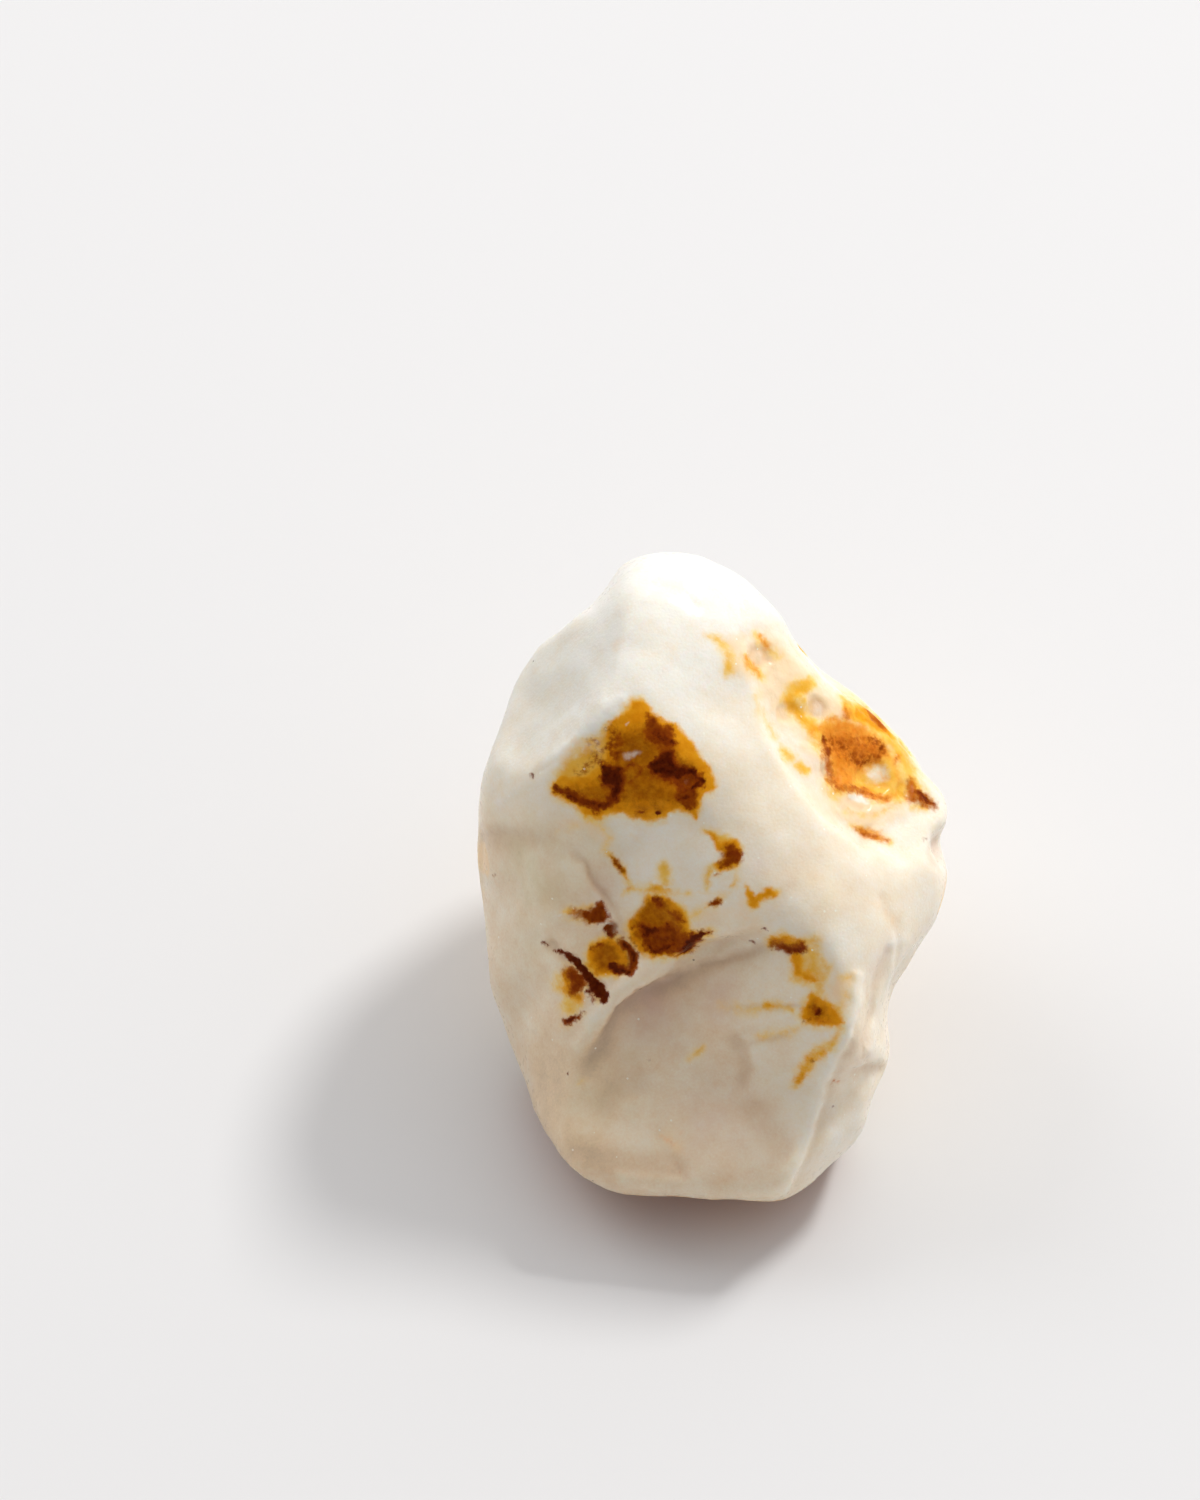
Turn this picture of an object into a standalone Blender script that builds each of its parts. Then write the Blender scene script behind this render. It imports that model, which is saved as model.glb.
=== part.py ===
"""Rough opal: one broken lump of milky common opal, resting on its flattest fracture.

The stone is worked out square-on to its broad face: X runs across that face, Y up along it
and Z out of it. The finished stone is then leaned back onto its resting face, which ends up
at z = 0. Lengths are in millimetres until the mesh is made.
"""

import math

import bmesh
import bpy
import numpy as np
from mathutils import Vector, noise

MM = 0.001

# Driving dimensions of the lump
LEAN_DEG = 38.0          # how far the broad face leans back from upright
REST_DEPTH = 14.2        # from the middle of the stone down to the resting face
FRONT_DEPTH = 14.5       # from the middle out to the broad face, before the fractures
BACK_DEPTH = 16.5        # from the middle out to the back, before the fractures
BLOCKINESS = 2.5         # 2 is an ellipsoid, higher is boxier
SPHERE_STEPS = 6         # subdivisions of the icosphere that the stone is carved from
KEPT_SHARE = 0.42        # of the faces, where the surface is calm enough to do without

# The girdle is the outline seen square-on to the broad face: (degrees, radius)
GIRDLE = (
    (-170, 15.3), (-160, 15.8), (-150, 16.6), (-140, 17.5), (-130, 19.0), (-122, 21.8),
    (-112, 21.8), (-100, 20.9), (-88, 21.2), (-75, 21.5), (-66, 21.2), (-58, 18.3),
    (-50, 16.7), (-40, 14.7), (-30, 13.9), (-20, 14.0), (-10, 14.7), (0, 15.4),
    (8, 15.3), (16, 16.7), (28, 16.0), (45, 15.3), (58, 15.0), (68, 16.1),
    (77, 17.8), (88, 19.8), (100, 21.1), (106, 20.9), (112, 19.4), (120, 18.8),
    (128, 18.8), (136, 17.9), (148, 16.6), (160, 15.8), (175, 15.4),
)

# Fractures that took the lump's skin off: which way each faces across the broad face
# (0 is right, 90 is up), how far it leans away from that face (180 is the back), its
# distance from the middle, and how softly its edges are worn
FRACTURES = {
    "bright_slope": (40, 24, 11.6, 3.0),
    "stained_slope": (216, 23, 9.5, 3.0),
    "left_flank": (197, 57, 12.2, 1.8),
    "lower_front": (262, 40, 13.2, 1.6),
    "right_side": (-8, 58, 14.1, 1.2),
    "right_foot": (-46, 68, 16.7, 0.4),
    "broken_corner": (32, 48, 12.3, 0.6),
    "top_edge": (57, 60, 17.1, 0.8),
    "back_upper": (82, 128, 17.8, 1.2),
    "back_left": (172, 128, 13.6, 1.2),
    "back_right": (14, 132, 13.6, 1.2),
    "back_face": (60, 168, 14.8, 1.6),
    "low_left": (228, 120, 17.8, 0.8),
    "low_front": (268, 115, 19.8, 0.8),
    "low_right": (-44, 118, 17.9, 0.8),
}

# Shell-shaped fractures, each bitten out by a ball: a point on the hollow's floor, the
# heading and lean of that floor, the ball's radius, and how softly the rim is worn
HOLLOWS = {
    "left_shoulder": ((-9.0, 13.2, 5.7), 155, 57, 34.0, 0.5),
    "back_hollow": ((-5.6, 3.4, -11.4), 150, 150, 15.0, 0.5),
    "right_hollow": ((10.8, 4.0, -6.2), 20, 118, 12.0, 0.5),
}

# Hollows in the front with a steep rim on one side, fading out on the other: middle,
# half-sizes, turn, heading of the steep rim, share of the hollow that is wall, depth
LEDGES = {
    "front_scoop": ((0.2, -11.6), (10.6, 7.0), 38, 142, 0.26, 2.4),
    "corner_break": ((10.0, 9.0), (9.5, 5.8), -50, 215, 0.20, 1.0),
    "stained_shelf": ((-3.4, -1.0), (6.5, 5.2), 60, 196, 0.20, 1.0),
}

# Lumps (+) and dimples (-) left between the fractures: middle, reach and height
LUMPS = {
    "right_knuckle": ((11.4, -11.0, 1.5), 2.2, 0.7),
    "right_waist": ((13.2, -7.0, 1.5), 2.2, -0.5),
    "right_notch": ((14.9, 2.2, 1.0), 1.3, -0.8),
    "flank_swell": ((-10.5, -1.5, 6.0), 2.6, 0.5),
    "corner_pit": ((9.2, 8.8, 4.0), 1.9, -0.7),
    "corner_pock": ((10.9, 6.6, 4.0), 1.3, -0.5),
    "middle_pock": ((6.4, 11.5, 6.0), 1.4, -0.4),
    "upper_pock": ((3.4, 14.4, 6.0), 1.6, -0.4),
}

# Waviness of every edge and rim: wavelength and how far the edge wanders
EDGE_WAVES = ((6.0, 0.5), (2.4, 0.25))

# Slow unevenness of the whole surface: (wavelength, height)
SWELLS = ((13.0, 0.5), (5.5, 0.26), (2.6, 0.12))


def smooth_min(a, b, softness):
    """The lower of a and b, with the corner between them rounded over softness."""
    blend = np.clip(0.5 + 0.5 * (b - a) / softness, 0.0, 1.0)
    return b + (a - b) * blend - softness * blend * (1.0 - blend)


def girdle_radius(angle):
    """Radius of the outline at each angle, on a smooth closed curve through its points."""
    turns = np.array([math.radians(degrees) for degrees, _ in GIRDLE])
    radii = np.array([radius for _, radius in GIRDLE])
    count = len(radii)
    turns_wrapped = np.concatenate([turns - math.tau, turns, turns + math.tau])
    angle = (angle - turns[0]) % math.tau + turns[0]
    start = np.searchsorted(turns_wrapped, angle, side="right") - 1
    span = turns_wrapped[start + 1] - turns_wrapped[start]
    t = (angle - turns_wrapped[start]) / span
    before, here, after, beyond = (radii[(start + step) % count] for step in (-1, 0, 1, 2))
    return here + 0.5 * t * (
        after - before + t * (2 * before - 5 * here + 4 * after - beyond
                              + t * (3 * (here - after) + beyond - before))
    )


def lump_radius(ways):
    """Radius of the unbroken lump along each way: the girdle domed to the front and back."""
    across = np.hypot(ways[:, 0], ways[:, 1])
    girdle = girdle_radius(np.arctan2(ways[:, 1], ways[:, 0]))
    depth = np.where(ways[:, 2] > 0, FRONT_DEPTH, BACK_DEPTH)
    bulk = (across / girdle) ** BLOCKINESS + (np.abs(ways[:, 2]) / depth) ** BLOCKINESS
    return bulk ** (-1.0 / BLOCKINESS)


def fracture_normal(heading, tilt):
    heading, tilt = math.radians(heading), math.radians(tilt)
    return np.array([
        math.cos(heading) * math.sin(tilt),
        math.sin(heading) * math.sin(tilt),
        math.cos(tilt),
    ])


def fracture_radius(ways, heading, tilt, distance):
    facing = ways @ fracture_normal(heading, tilt)
    return distance / np.maximum(facing, 0.05)


def hollow_radius(ways, floor, heading, tilt, ball):
    """Where each way first meets the hollow's ball, and far away where it misses."""
    centre = np.array(floor) + fracture_normal(heading, tilt) * ball
    along = ways @ centre
    inside = along**2 - centre @ centre + ball**2
    met = (inside > 0) & (along > 0)
    return np.where(met, along - np.sqrt(np.maximum(inside, 0.0)), 99.0)


def smooth_step(low, high, value):
    t = np.clip((value - low) / (high - low), 0.0, 1.0)
    return t * t * (3.0 - 2.0 * t)


def ledge_depth(points, middle, half_sizes, turn, steep_heading, wall, depth):
    """Depth of a one-sided hollow: a steep rim, then a floor that fades out opposite it."""
    turn, steep = math.radians(turn), math.radians(steep_heading)
    x, y = points[:, 0] - middle[0], points[:, 1] - middle[1]
    across = (x * math.cos(turn) + y * math.sin(turn)) / half_sizes[0]
    up = (y * math.cos(turn) - x * math.sin(turn)) / half_sizes[1]
    inside = smooth_step(1.0, 1.0 - wall, np.hypot(across, up))
    towards_rim = (x * math.cos(steep) + y * math.sin(steep)) / max(half_sizes)
    return depth * inside * smooth_step(-1.1, 0.7, towards_rim) * (points[:, 2] > -2.0)


def waves_at(points, wavelength, start=0.0):
    return np.array([noise.noise(Vector(p / wavelength + start)) for p in points])


def waver(points, wavelength, reach):
    """The points shifted a little, each axis by a wave field of its own."""
    shifts = [waves_at(points, wavelength, start) for start in (11.3, 47.9, 83.1)]
    return points + reach * np.stack(shifts, axis=1)


def surface_radius(true_ways):
    bent = true_ways * 15.0
    for wavelength, reach in EDGE_WAVES:
        bent = waver(bent, wavelength, reach)
    ways = bent / np.linalg.norm(bent, axis=1)[:, None]
    radius = lump_radius(ways)
    for heading, tilt, distance, softness in FRACTURES.values():
        radius = smooth_min(radius, fracture_radius(ways, heading, tilt, distance), softness)
    for floor, heading, tilt, ball, softness in HOLLOWS.values():
        radius = smooth_min(radius, hollow_radius(ways, floor, heading, tilt, ball), softness)
    points = ways * radius[:, None]
    for ledge in LEDGES.values():
        radius = radius - ledge_depth(points, *ledge)
    for middle, reach, height in LUMPS.values():
        gap = ((points - np.array(middle)) ** 2).sum(1)
        radius = radius + height * np.exp(-gap / reach**2)
    for wavelength, height in SWELLS:
        radius = radius + height * waves_at(points, wavelength)
    return radius


def carve_stone():
    """The lump's mesh, carved from an icosphere by moving its points along their own ways."""
    ball = bmesh.new()
    bmesh.ops.create_icosphere(ball, subdivisions=SPHERE_STEPS, radius=1.0)
    mesh = bpy.data.meshes.new("opal")
    ball.to_mesh(mesh)
    ball.free()
    ways = np.empty(len(mesh.vertices) * 3, np.float32)
    mesh.vertices.foreach_get("co", ways)
    ways = ways.reshape(-1, 3).astype(float)
    ways /= np.linalg.norm(ways, axis=1)[:, None]
    points = ways * surface_radius(ways)[:, None] * MM
    mesh.vertices.foreach_set("co", points.astype(np.float32).ravel())
    mesh.update()
    return mesh


def ground_block(collection):
    """A cutter whose top is the plane that the stone rests on."""
    side = 120 * MM
    bpy.ops.mesh.primitive_cube_add(size=side, location=(0, 0, -side / 2))
    block = bpy.context.active_object
    block.name = "ground_cutter"
    block.hide_render = True
    block.display_type = "WIRE"
    for holder in block.users_collection:
        holder.objects.unlink(block)
    collection.objects.link(block)
    return block


def milky_opal():
    material = bpy.data.materials.new("milky_opal")
    material.use_nodes = True
    shader = material.node_tree.nodes["Principled BSDF"]
    shader.inputs["Base Color"].default_value = (0.83, 0.79, 0.72, 1.0)
    shader.inputs["Roughness"].default_value = 0.28
    shader.inputs["Metallic"].default_value = 0.0
    return material


def centre_over_origin(stone):
    """Moves the stone level, so that the middle of its box is over the origin."""
    bpy.context.view_layer.update()
    settled = stone.evaluated_get(bpy.context.evaluated_depsgraph_get())
    corners = [settled.matrix_world @ Vector(v.co) for v in settled.data.vertices]
    for axis in (0, 1):
        low = min(corner[axis] for corner in corners)
        high = max(corner[axis] for corner in corners)
        stone.location[axis] -= (low + high) / 2


def main():
    for obj in list(bpy.data.objects):
        bpy.data.objects.remove(obj)
    part = bpy.data.collections.new("rough_opal")
    cutters = bpy.data.collections.new("cutters")
    for collection in (part, cutters):
        bpy.context.scene.collection.children.link(collection)

    stone = bpy.data.objects.new("opal", carve_stone())
    part.objects.link(stone)
    stone.data.materials.append(milky_opal())
    stone.rotation_euler.x = math.radians(LEAN_DEG)
    stone.location.z = REST_DEPTH * MM

    calm = stone.modifiers.new("calm_areas", "DECIMATE")
    calm.ratio = KEPT_SHARE
    rest = stone.modifiers.new("resting_face", "BOOLEAN")
    rest.operation = "DIFFERENCE"
    rest.solver = "EXACT"
    rest.object = ground_block(cutters)
    centre_over_origin(stone)
    stone.data.shade_smooth()


main()
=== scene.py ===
import math

import bmesh
import bpy
import numpy as np
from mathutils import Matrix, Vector, noise


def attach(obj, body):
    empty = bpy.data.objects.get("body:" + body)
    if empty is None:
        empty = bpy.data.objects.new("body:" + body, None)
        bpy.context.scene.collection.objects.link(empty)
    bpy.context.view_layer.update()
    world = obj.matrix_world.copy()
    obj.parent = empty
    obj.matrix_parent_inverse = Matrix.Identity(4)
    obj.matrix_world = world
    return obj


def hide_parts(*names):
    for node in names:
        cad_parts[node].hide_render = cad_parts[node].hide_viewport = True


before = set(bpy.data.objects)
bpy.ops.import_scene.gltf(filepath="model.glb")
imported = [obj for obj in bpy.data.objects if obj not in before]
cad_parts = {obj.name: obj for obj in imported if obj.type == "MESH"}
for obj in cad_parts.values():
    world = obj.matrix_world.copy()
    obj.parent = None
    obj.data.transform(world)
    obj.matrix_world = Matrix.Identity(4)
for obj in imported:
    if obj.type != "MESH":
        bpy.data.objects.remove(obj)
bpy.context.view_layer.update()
print("stage: frame loaded")

mm = 0.001

# The camera stands well above the floor, far away with a long lens
cameraSet = {
    "elevation": 52.0,                      # degrees above the floor
    "distance": 812.5,                      # mm
    "lens": 300.0,
    "sensor": 36.0,
    "pixel": 0.065,                         # mm on the stone
    "stoneMiddle": (-0.04, -1.08, 14.2),    # mm
    "middleInPicture": (712, 878),
    "pictureSize": (1200, 1500),
}


def placeCamera():
    tilt = math.radians(cameraSet["elevation"])
    right = np.array((1.0, 0.0, 0.0))
    up = np.array((0.0, math.sin(tilt), math.cos(tilt)))
    forward = np.array((0.0, math.cos(tilt), -math.sin(tilt)))
    halfWide, halfTall = (side / 2 for side in cameraSet["pictureSize"])
    across, down = cameraSet["middleInPicture"]
    aim = (
        np.array(cameraSet["stoneMiddle"])
        + right * (halfWide - across) * cameraSet["pixel"]
        + up * (down - halfTall) * cameraSet["pixel"]
    )
    place = aim - forward * cameraSet["distance"]
    data = bpy.data.cameras.new("mainCamera")
    data.lens = cameraSet["lens"]
    data.sensor_width = cameraSet["sensor"]
    data.clip_start = 0.01
    camera = bpy.data.objects.new("mainCamera", data)
    camera.location = place * mm
    camera.rotation_euler = (math.pi / 2 - tilt, 0, 0)
    bpy.context.scene.collection.objects.link(camera)
    bpy.context.scene.camera = camera
    return place, right, up, forward


cameraPlace, cameraRight, cameraUp, cameraForward = placeCamera()


def toPicture(points):
    # where points given in mm fall in the picture, in its pixels
    reach = points - cameraPlace
    zoom = cameraSet["lens"] / cameraSet["sensor"] * cameraSet["pictureSize"][1]
    depth = reach @ cameraForward
    across = cameraSet["pictureSize"][0] / 2 + zoom * (reach @ cameraRight) / depth
    down = cameraSet["pictureSize"][1] / 2 - zoom * (reach @ cameraUp) / depth
    return np.stack([across, down], axis=1)


def facingCamera(points, normals):
    away = cameraPlace - points
    away /= np.linalg.norm(away, axis=1)[:, None]
    return (normals * away).sum(1)


# Small helpers for shapes drawn on the stone

def smoothStep(low, high, value):
    t = np.clip((value - low) / (high - low), 0.0, 1.0)
    return t * t * (3.0 - 2.0 * t)


def strokeGap(spots, path):
    # distance of each spot from a stroke whose points are (place..., half-width); negative inside
    path = np.array(path, float)
    if len(path) == 1:
        return np.linalg.norm(spots - path[0, :-1], axis=1) - path[0, -1]
    gap = np.full(len(spots), 1e3)
    for start, end in zip(path[:-1], path[1:]):
        along = end[:-1] - start[:-1]
        t = np.clip(((spots - start[:-1]) @ along) / (along @ along), 0.0, 1.0)
        away = np.linalg.norm(spots - (start[:-1] + t[:, None] * along), axis=1)
        gap = np.minimum(gap, away - (start[-1] + t * (end[-1] - start[-1])))
    return gap


def besidePath(spots, path):
    # distance to the left of a path (negative on its right) and the path's own third value nearest to each spot
    path = np.array(path, float)
    nearest, side, value = np.full(len(spots), 1e3), np.zeros(len(spots)), np.zeros(len(spots))
    for start, end in zip(path[:-1], path[1:]):
        along = end[:2] - start[:2]
        offset = spots - start[:2]
        t = np.clip((offset @ along) / (along @ along), 0.0, 1.0)
        away = np.linalg.norm(offset - t[:, None] * along, axis=1)
        turn = along[1] * offset[:, 0] - along[0] * offset[:, 1]
        nearer = away < nearest
        nearest = np.where(nearer, away, nearest)
        side = np.where(nearer, np.sign(turn), side)
        value = np.where(nearer, start[2] + t * (end[2] - start[2]), value)
    return side * nearest, value


def outlineGap(spots, outline):
    # distance of each spot from a closed outline; negative inside
    corners = np.array(outline, float)
    inside = np.zeros(len(spots), bool)
    gap = np.full(len(spots), 1e3)
    for start, end in zip(corners, np.roll(corners, -1, axis=0)):
        along = end - start
        t = np.clip(((spots - start) @ along) / (along @ along), 0.0, 1.0)
        gap = np.minimum(gap, np.linalg.norm(spots - (start + t[:, None] * along), axis=1))
        crosses = (start[1] > spots[:, 1]) != (end[1] > spots[:, 1])
        slope = along[0] / along[1] if along[1] else 0.0
        inside ^= crosses & (spots[:, 0] < start[0] + slope * (spots[:, 1] - start[1]))
    return np.where(inside, -gap, gap)


def wavesAt(points, length, start=0.0):
    return np.array([noise.noise(Vector(p / length + start)) for p in points])


def roughAt(points, length, octaves, start=0.0):
    return np.array([noise.fractal(Vector(p / length + start), 0.8, 2.1, octaves) for p in points])


# Floor, light and world
floorSet = {"size": 3.0, "colour": (0.768, 0.766, 0.770), "roughness": 0.9}
lightSet = {
    "keyFrom": (0.47, 0.51, 0.72), "keyDistance": 1.1, "keySize": 0.22, "keyPower": 6.6,
    "keyColour": (1.0, 0.99, 0.97),
    "softboxFrom": (-0.62, 0.45, 0.65), "softboxDistance": 1.2, "softboxSize": 0.7, "softboxPower": 2.55,
    "softboxColour": (0.98, 0.99, 1.0),
    "roomColour": (1.0, 0.985, 0.985), "brightSide": (0.45, 0.7, 0.55), "roomDim": 0.24, "roomBright": 1.0,
    "roomFocus": 2.0, "seenBackdrop": (0.88, 0.87, 0.87),
    "aim": (0, 0, 0.012),       # m, what the lamps point at
}


def makeFloor():
    half = floorSet["size"] / 2
    mesh = bpy.data.meshes.new("floor")
    corners = [(-half, -half, 0), (half, -half, 0), (half, half, 0), (-half, half, 0)]
    mesh.from_pydata(corners, [], [(0, 1, 2, 3)])
    floor = bpy.data.objects.new("floor", mesh)
    bpy.context.scene.collection.objects.link(floor)
    paint = bpy.data.materials.new("paleFloor")
    paint.use_nodes = True
    shader = paint.node_tree.nodes["Principled BSDF"]
    shader.inputs["Base Color"].default_value = (*floorSet["colour"], 1)
    shader.inputs["Roughness"].default_value = floorSet["roughness"]
    mesh.materials.append(paint)


def addLight(name):
    # a round softbox, named and set by the values above
    data = bpy.data.lights.new(name, "AREA")
    data.shape = "DISK"
    data.size = lightSet[name + "Size"]
    data.energy = lightSet[name + "Power"]
    data.color = lightSet[name + "Colour"]
    lamp = bpy.data.objects.new(name, data)
    way = Vector(lightSet[name + "From"]).normalized()
    lamp.location = Vector(lightSet["aim"]) + way * lightSet[name + "Distance"]
    lamp.rotation_euler = way.to_track_quat("Z", "Y").to_euler()
    bpy.context.scene.collection.objects.link(lamp)


def lightTheScene():
    # a key and a softbox behind the stone, in a pale room that is brighter behind the stone too
    addLight("key")
    addLight("softbox")
    world = bpy.data.worlds.new("softRoom")
    world.use_nodes = True
    tree = world.node_tree
    place = tree.nodes.new("ShaderNodeTexCoord")
    towards = tree.nodes.new("ShaderNodeVectorMath")
    towards.operation = "DOT_PRODUCT"
    towards.inputs[1].default_value = Vector(lightSet["brightSide"]).normalized()
    tree.links.new(place.outputs["Generated"], towards.inputs[0])
    share = tree.nodes.new("ShaderNodeMapRange")
    share.inputs["From Min"].default_value = -1.0
    tree.links.new(towards.outputs["Value"], share.inputs["Value"])
    focus = tree.nodes.new("ShaderNodeMath")
    focus.operation = "POWER"
    focus.inputs[1].default_value = lightSet["roomFocus"]
    tree.links.new(share.outputs["Result"], focus.inputs[0])
    strength = tree.nodes.new("ShaderNodeMapRange")
    strength.inputs["To Min"].default_value = lightSet["roomDim"]
    strength.inputs["To Max"].default_value = lightSet["roomBright"]
    tree.links.new(focus.outputs["Value"], strength.inputs["Value"])
    room = tree.nodes["Background"]
    room.inputs["Color"].default_value = (*lightSet["roomColour"], 1)
    tree.links.new(strength.outputs["Result"], room.inputs["Strength"])
    backdrop = tree.nodes.new("ShaderNodeBackground")
    backdrop.inputs["Color"].default_value = (*lightSet["seenBackdrop"], 1)
    seen = tree.nodes.new("ShaderNodeLightPath")
    mixed = tree.nodes.new("ShaderNodeMixShader")
    tree.links.new(seen.outputs["Is Camera Ray"], mixed.inputs["Fac"])
    tree.links.new(room.outputs["Background"], mixed.inputs[1])
    tree.links.new(backdrop.outputs["Background"], mixed.inputs[2])
    tree.links.new(mixed.outputs["Shader"], tree.nodes["World Output"].inputs["Surface"])
    bpy.context.scene.world = world
    bpy.context.scene.view_settings.view_transform = "Standard"


makeFloor()
lightTheScene()
print("stage: camera, floor and light placed")

# The stone is the CAD stone remeshed finely, with closer points where it is stained or pitted
stoneSet = {
    "grain": 0.29,              # mm between points after remeshing
    "calmPasses": 10,           # smoothing passes that lose the CAD facets
    "footKept": (0.15, 0.90),   # mm above the floor: flat below the first, fully carved above the second
    "lastPasses": 2,            # smoothing passes after the fine areas are split
    "undercut": {"lift": 4.6, "fromY": -10.0, "toY": -16.0, "fadeFrom": 1.5, "fadeTo": 11.0},
    "calmEdge": (14.0, -6.0),   # px from their outlines over which the calm areas fade in
    "calmAreas": {              # picture outlines with extra smoothing passes
        "shoulder": (48, ((600, 560), (690, 560), (690, 640), (664, 700), (634, 708), (596, 690))),
        "lowLeft": (55, ((556, 1050), (590, 1010), (630, 1040), (650, 1100), (640, 1170), (600, 1185),
                         (560, 1140))),
        "right": (14, ((850, 930), (905, 930), (900, 1040), (860, 1070), (840, 1030))),
    },
    "fineAreas": (              # picture outlines that get twice the points
        ((540, 690), (640, 685), (735, 690), (730, 800), (760, 850), (800, 900), (870, 960), (870, 1060),
         (800, 1100), (740, 1060), (690, 1000), (640, 1000), (600, 1040), (540, 1040), (530, 930), (580, 860),
         (560, 830), (540, 800)),
        ((690, 620), (780, 620), (860, 690), (930, 760), (950, 820), (900, 860), (840, 850), (790, 790),
         (740, 720)),
    ),
}

# Ridges (+) and grooves (-): picture points with half-width, how far the flank runs out, height in mm
reliefLines = {
    "shoulderEdge": (((620, 699, 1), (601, 722, 1), (580, 743, 1), (562, 756, 1)), 7, 0.12),
    "shoulderCrack": (((573, 746, 0.5), (556, 762, 0.5), (536, 774, 0.5)), 3, -0.06),
    "shoulderStreak": (((500, 802, 0.5), (512, 793, 0.5), (530, 783, 0.5)), 4, 0.05),
    "topRib": (((655, 571, 1), (670, 575, 1), (686, 586, 1), (700, 598, 1)), 5, 0.08),
    "ledgeLip": (((580, 1046, 1), (594, 1024, 1), (608, 1002, 2), (626, 985, 3), (646, 971, 3),
                  (668, 958, 3)), 7, 0.22),
    "fluteOne": (((690, 950, 1), (715, 945, 2), (738, 939, 2), (760, 930, 1)), 5, -0.12),
    "fluteTwo": (((700, 962, 1), (728, 956, 2), (750, 952, 2), (766, 944, 1)), 5, -0.12),
    "fluteRib": (((696, 955, 1), (722, 950, 1), (745, 945, 1)), 4, 0.06),
    "scoopFold": (((733, 1040, 1), (743, 1052, 2), (746, 1068, 2), (742, 1082, 1)), 6, -0.14),
    "scoopSwell": (((758, 1052, 3), (766, 1064, 4), (764, 1088, 6)), 10, 0.10),
    "scoopRim": (((606, 1070, 1), (593, 1087, 2), (586, 1108, 2), (582, 1130, 2)), 9, 0.08),
    "scoopDip": (((604, 1108, 4), (612, 1092, 4), (636, 1082, 5)), 10, -0.10),
    "lowFold": (((656, 1130, 1), (665, 1148, 1), (678, 1168, 1), (690, 1184, 1)), 4, -0.07),
    "lowDip": (((757, 1108, 3), (766, 1130, 5), (782, 1148, 4)), 12, -0.12),
    "bottomBand": (((572, 1150, 3), (610, 1160, 4), (655, 1164, 4), (682, 1166, 2)), 8, -0.10),
    "bottomBevel": (((622, 1178, 1), (660, 1184, 2), (715, 1190, 2), (768, 1188, 2)), 7, 0.12),
    "flankRib": (((552, 915, 1), (566, 916, 1), (574, 912, 1)), 4, 0.08),
    "flankLip": (((566, 866, 1), (580, 882, 2), (590, 896, 3)), 7, 0.14),
    "darkGroove": (((548, 945, 1), (570, 957, 2), (585, 972, 3), (598, 988, 4), (603, 998, 4)), 4, -0.22),
    "clusterGroove": (((612, 930, 2), (624, 945, 2), (632, 957, 2), (628, 968, 2)), 4, -0.16),
    "sparkleRib": (((770, 992, 1), (788, 989, 1), (806, 988, 1)), 4, 0.08),
    "ribCrest": (((745, 1024, 1), (770, 1020, 1), (796, 1012, 1)), 4, 0.06),
    "footCrest": (((857, 976, 1), (856, 1000, 1), (851, 1020, 1), (841, 1043, 1), (831, 1062, 1), (821, 1083, 1),
                   (816, 1102, 1), (811, 1122, 1), (803, 1145, 1), (795, 1166, 1), (782, 1188, 1)), 5, 0.14),
    "sideCrest": (((892, 940, 1), (888, 975, 1), (882, 1002, 1), (876, 1030, 1), (869, 1052, 1),
                   (861, 1066, 1)), 4, 0.12),
    "sideGroove": (((886, 952, 1), (880, 978, 3), (875, 1002, 1), (870, 1036, 1), (864, 1058, 1)), 4, -0.14),
    "sideCrestTwo": (((905, 940, 1), (895, 975, 1), (889, 1002, 1), (890, 1040, 1)), 4, 0.07),
    "sideGrooveTwo": (((898, 950, 1), (892, 980, 1), (884, 1010, 1), (880, 1040, 1)), 3, -0.07),
    "notchFold": (((937, 841, 1), (934, 852, 3), (935, 862, 2)), 5, -0.14),
    "rightFold": (((882, 898, 1), (888, 912, 2), (896, 926, 1)), 5, -0.08),
    "kneeLine": (((842, 1066, 1), (856, 1062, 1), (868, 1052, 1)), 4, 0.08),
}

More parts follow.
